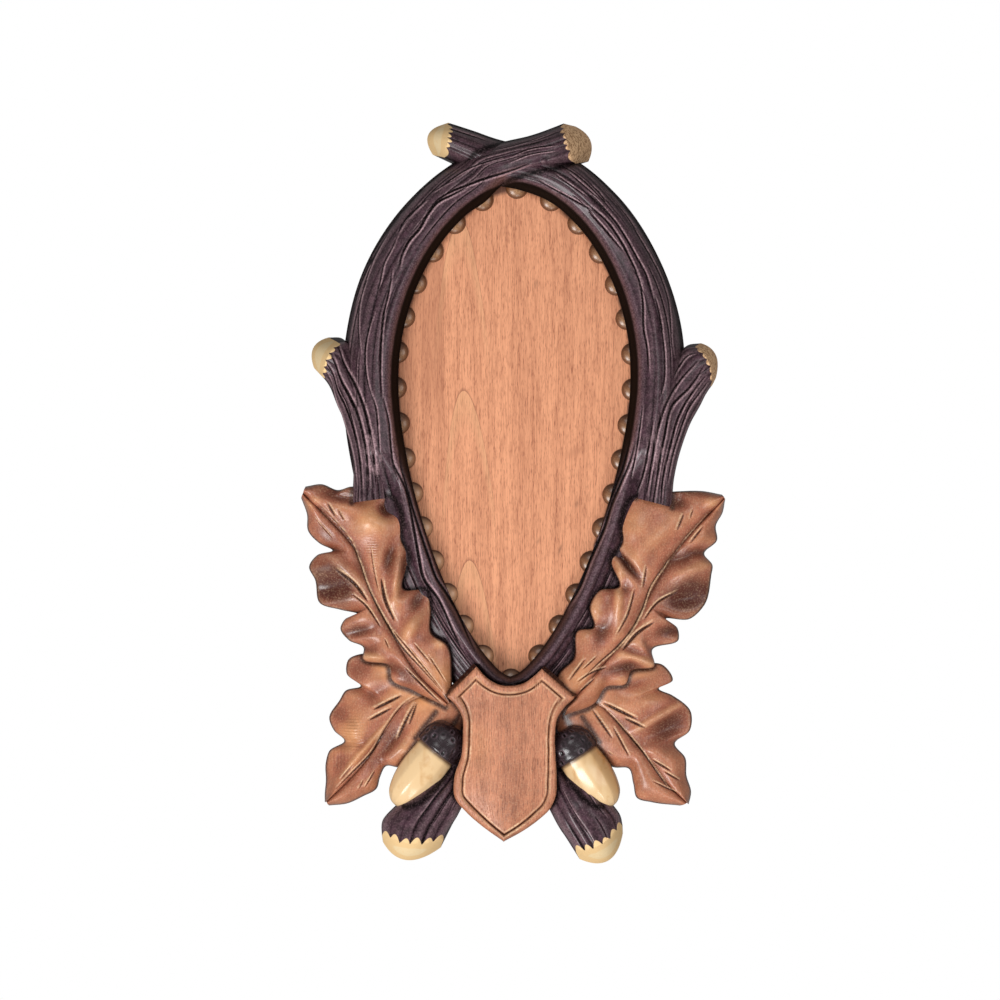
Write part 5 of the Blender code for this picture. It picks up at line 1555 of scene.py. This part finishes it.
# %% The beads
BEAD_ROWS = 9
BEAD_AROUND = 25
BEAD_FOOT = 0.4
around = np.linalg.norm(np.diff(opening_outline(0.0, OUTLINE_DETAIL), axis=0), axis=1).sum()
bead_count = round(around / BEAD_PITCH)
height = np.linspace(0, 1, BEAD_ROWS)[:, None]
turn = np.linspace(0, 2 * np.pi, BEAD_AROUND)
turn[-1] = 0.0
radius = BEAD_DIAMETER / 2 * np.cos(height * np.pi / 2) ** 0.9
radius[-1] = 0
rise = BEAD_RISE * np.sin(height * np.pi / 2) + 0 * turn
dome = np.dstack([radius * np.cos(turn), rise, radius * np.sin(turn)])
foot = np.stack([dome[0] * (1, 0, 1) - (0, BEAD_FOOT, 0), dome[0] * 0 - (0, BEAD_FOOT, 0)])
bead_sheets, bead_shade, bead_wear_and_highlight, bead_tone = [], [], [], []
for x, z in opening_outline(BEAD_OFFSET, bead_count):
    centre = np.array([x, PANEL_THICKNESS, z])
    bead_sheets += [dome + centre, np.concatenate([(dome[:1] + centre), foot + centre])]
    # Painted shade on the upper half of each bead and in the crease at its foot.
    upper = smooth_step(0.1, 1.0, np.sin(turn)) * (1 - 0.6 * height)
    bead_shade += [np.clip((1 - height) ** 3 + 0.75 * upper, 0, 1), 1.0]
    # Painted light: beads towards the lower left, where the key light falls, are paler.
    bead_tone += [float(smooth_step(40, -30, z) * smooth_step(15, -15, x))] * 2
    # Painted highlight, brightest on the lower side of each top.
    bead_wear_and_highlight += [np.clip(smooth_step(0.3, 0.8, height) * (0.2 - 0.3 * np.sin(turn)), 0, 1), 0.0]
add_piece("beads", bead_sheets, {"groove": bead_shade, "wear_and_highlight": bead_wear_and_highlight, "tone": bead_tone}, bead_stain,
          "back_panel", sharp=60)
print(bead_count, "beads round the rim")

# %% [markdown]
# ## The studio
# The plaque hangs in front of a plain bright surround, well above a pale floor. Four broad soft lights
# stand in front: the strongest to the left and low, two weaker ones to the right and above, and one below
# that picks out the saw cuts underneath. The camera looks straight at the plaque from a little over two
# metres, with a long lens.

# %% Floor, lights and camera
PAINT = stain(243, 242, 240)
PAINT_SHADE = stain(236, 234, 231)


def studio_material(name, colour, shade):
    """Matt paint, very slightly uneven."""
    made = bpy.data.materials.new(name)
    made.use_nodes = True
    shader = made.node_tree.nodes["Principled BSDF"]
    tree = made.node_tree
    place = add_node(tree, "ShaderNodeTexCoord").outputs["Object"]
    uneven = cloud(tree, place, 3.0, 2.0)
    tree.links.new(mix_colour(tree, uneven, colour, shade), shader.inputs["Base Color"])
    shader.inputs["Roughness"].default_value = 0.8
    return made


FLOOR_RADIUS = 2.4
FLOOR_DROP = 1.6
FLOOR_CORNERS = 96
turn = np.linspace(0, 2 * np.pi, FLOOR_CORNERS, endpoint=False)
floor_mesh = bpy.data.meshes.new("floor")
floor_rim = np.c_[FLOOR_RADIUS * np.cos(turn), FLOOR_RADIUS * np.sin(turn), 0 * turn - FLOOR_DROP]
floor_mesh.from_pydata(floor_rim, [], [tuple(range(FLOOR_CORNERS))])
floor = bpy.data.objects.new("floor", floor_mesh)
floor_mesh.materials.append(studio_material("pale_floor", PAINT, PAINT_SHADE))
bpy.context.scene.collection.objects.link(floor)


def soft_light(name, place, size, power, target=(0, 0, 0)):
    """A square area light that faces the target."""
    lamp = bpy.data.lights.new(name, "AREA")
    lamp.size = size
    lamp.energy = power
    holder = bpy.data.objects.new(name, lamp)
    holder.location = place
    toward = np.subtract(target, place)
    heading = np.arctan2(toward[0], -toward[1])
    holder.rotation_euler = (np.arccos(-toward[2] / np.linalg.norm(toward)), 0, float(heading) + np.pi)
    bpy.context.scene.collection.objects.link(holder)


soft_light("key", (-0.75, -1.3, -0.75), 0.6, 16.0)
soft_light("fill", (1.0, -1.5, 0.0), 0.8, 4.5)
soft_light("front", (-0.2, -2.1, 0.9), 0.8, 6.5)
soft_light("low", (0.1, -1.1, -1.3), 0.5, 4.5, (0, 0, -0.1))

WORLD_LIGHT = 0.25
world = bpy.data.worlds.new("studio")
bpy.context.scene.world = world
world.use_nodes = True
sky = world.node_tree
seen = add_node(sky, "ShaderNodeLightPath").outputs["Is Camera Ray"]
brightness = steps(sky, seen, 0.0, 1.0, WORLD_LIGHT, 1.0)
sky.links.new(brightness, sky.nodes["Background"].inputs["Strength"])
sky.nodes["Background"].inputs["Color"].default_value = (1, 1, 1, 1)

CAMERA_DISTANCE = 2.2
VIEW_WIDTH = 0.430
SENSOR = 36.0
VIEW_DEPTH = 0.012
EYE_ASIDE = -0.0054
EYE_HEIGHT = -0.0028
camera = bpy.data.cameras.new("camera")
camera.sensor_width = SENSOR
camera.lens = SENSOR * (CAMERA_DISTANCE - VIEW_DEPTH) / VIEW_WIDTH
eye = bpy.data.objects.new("camera", camera)
eye.location = (EYE_ASIDE, -CAMERA_DISTANCE, EYE_HEIGHT)
eye.rotation_euler = (np.pi / 2, 0, 0)
bpy.context.scene.collection.objects.link(eye)
bpy.context.scene.camera = eye
bpy.context.scene.view_settings.view_transform = "Standard"
print("lens", round(camera.lens, 1), "mm")
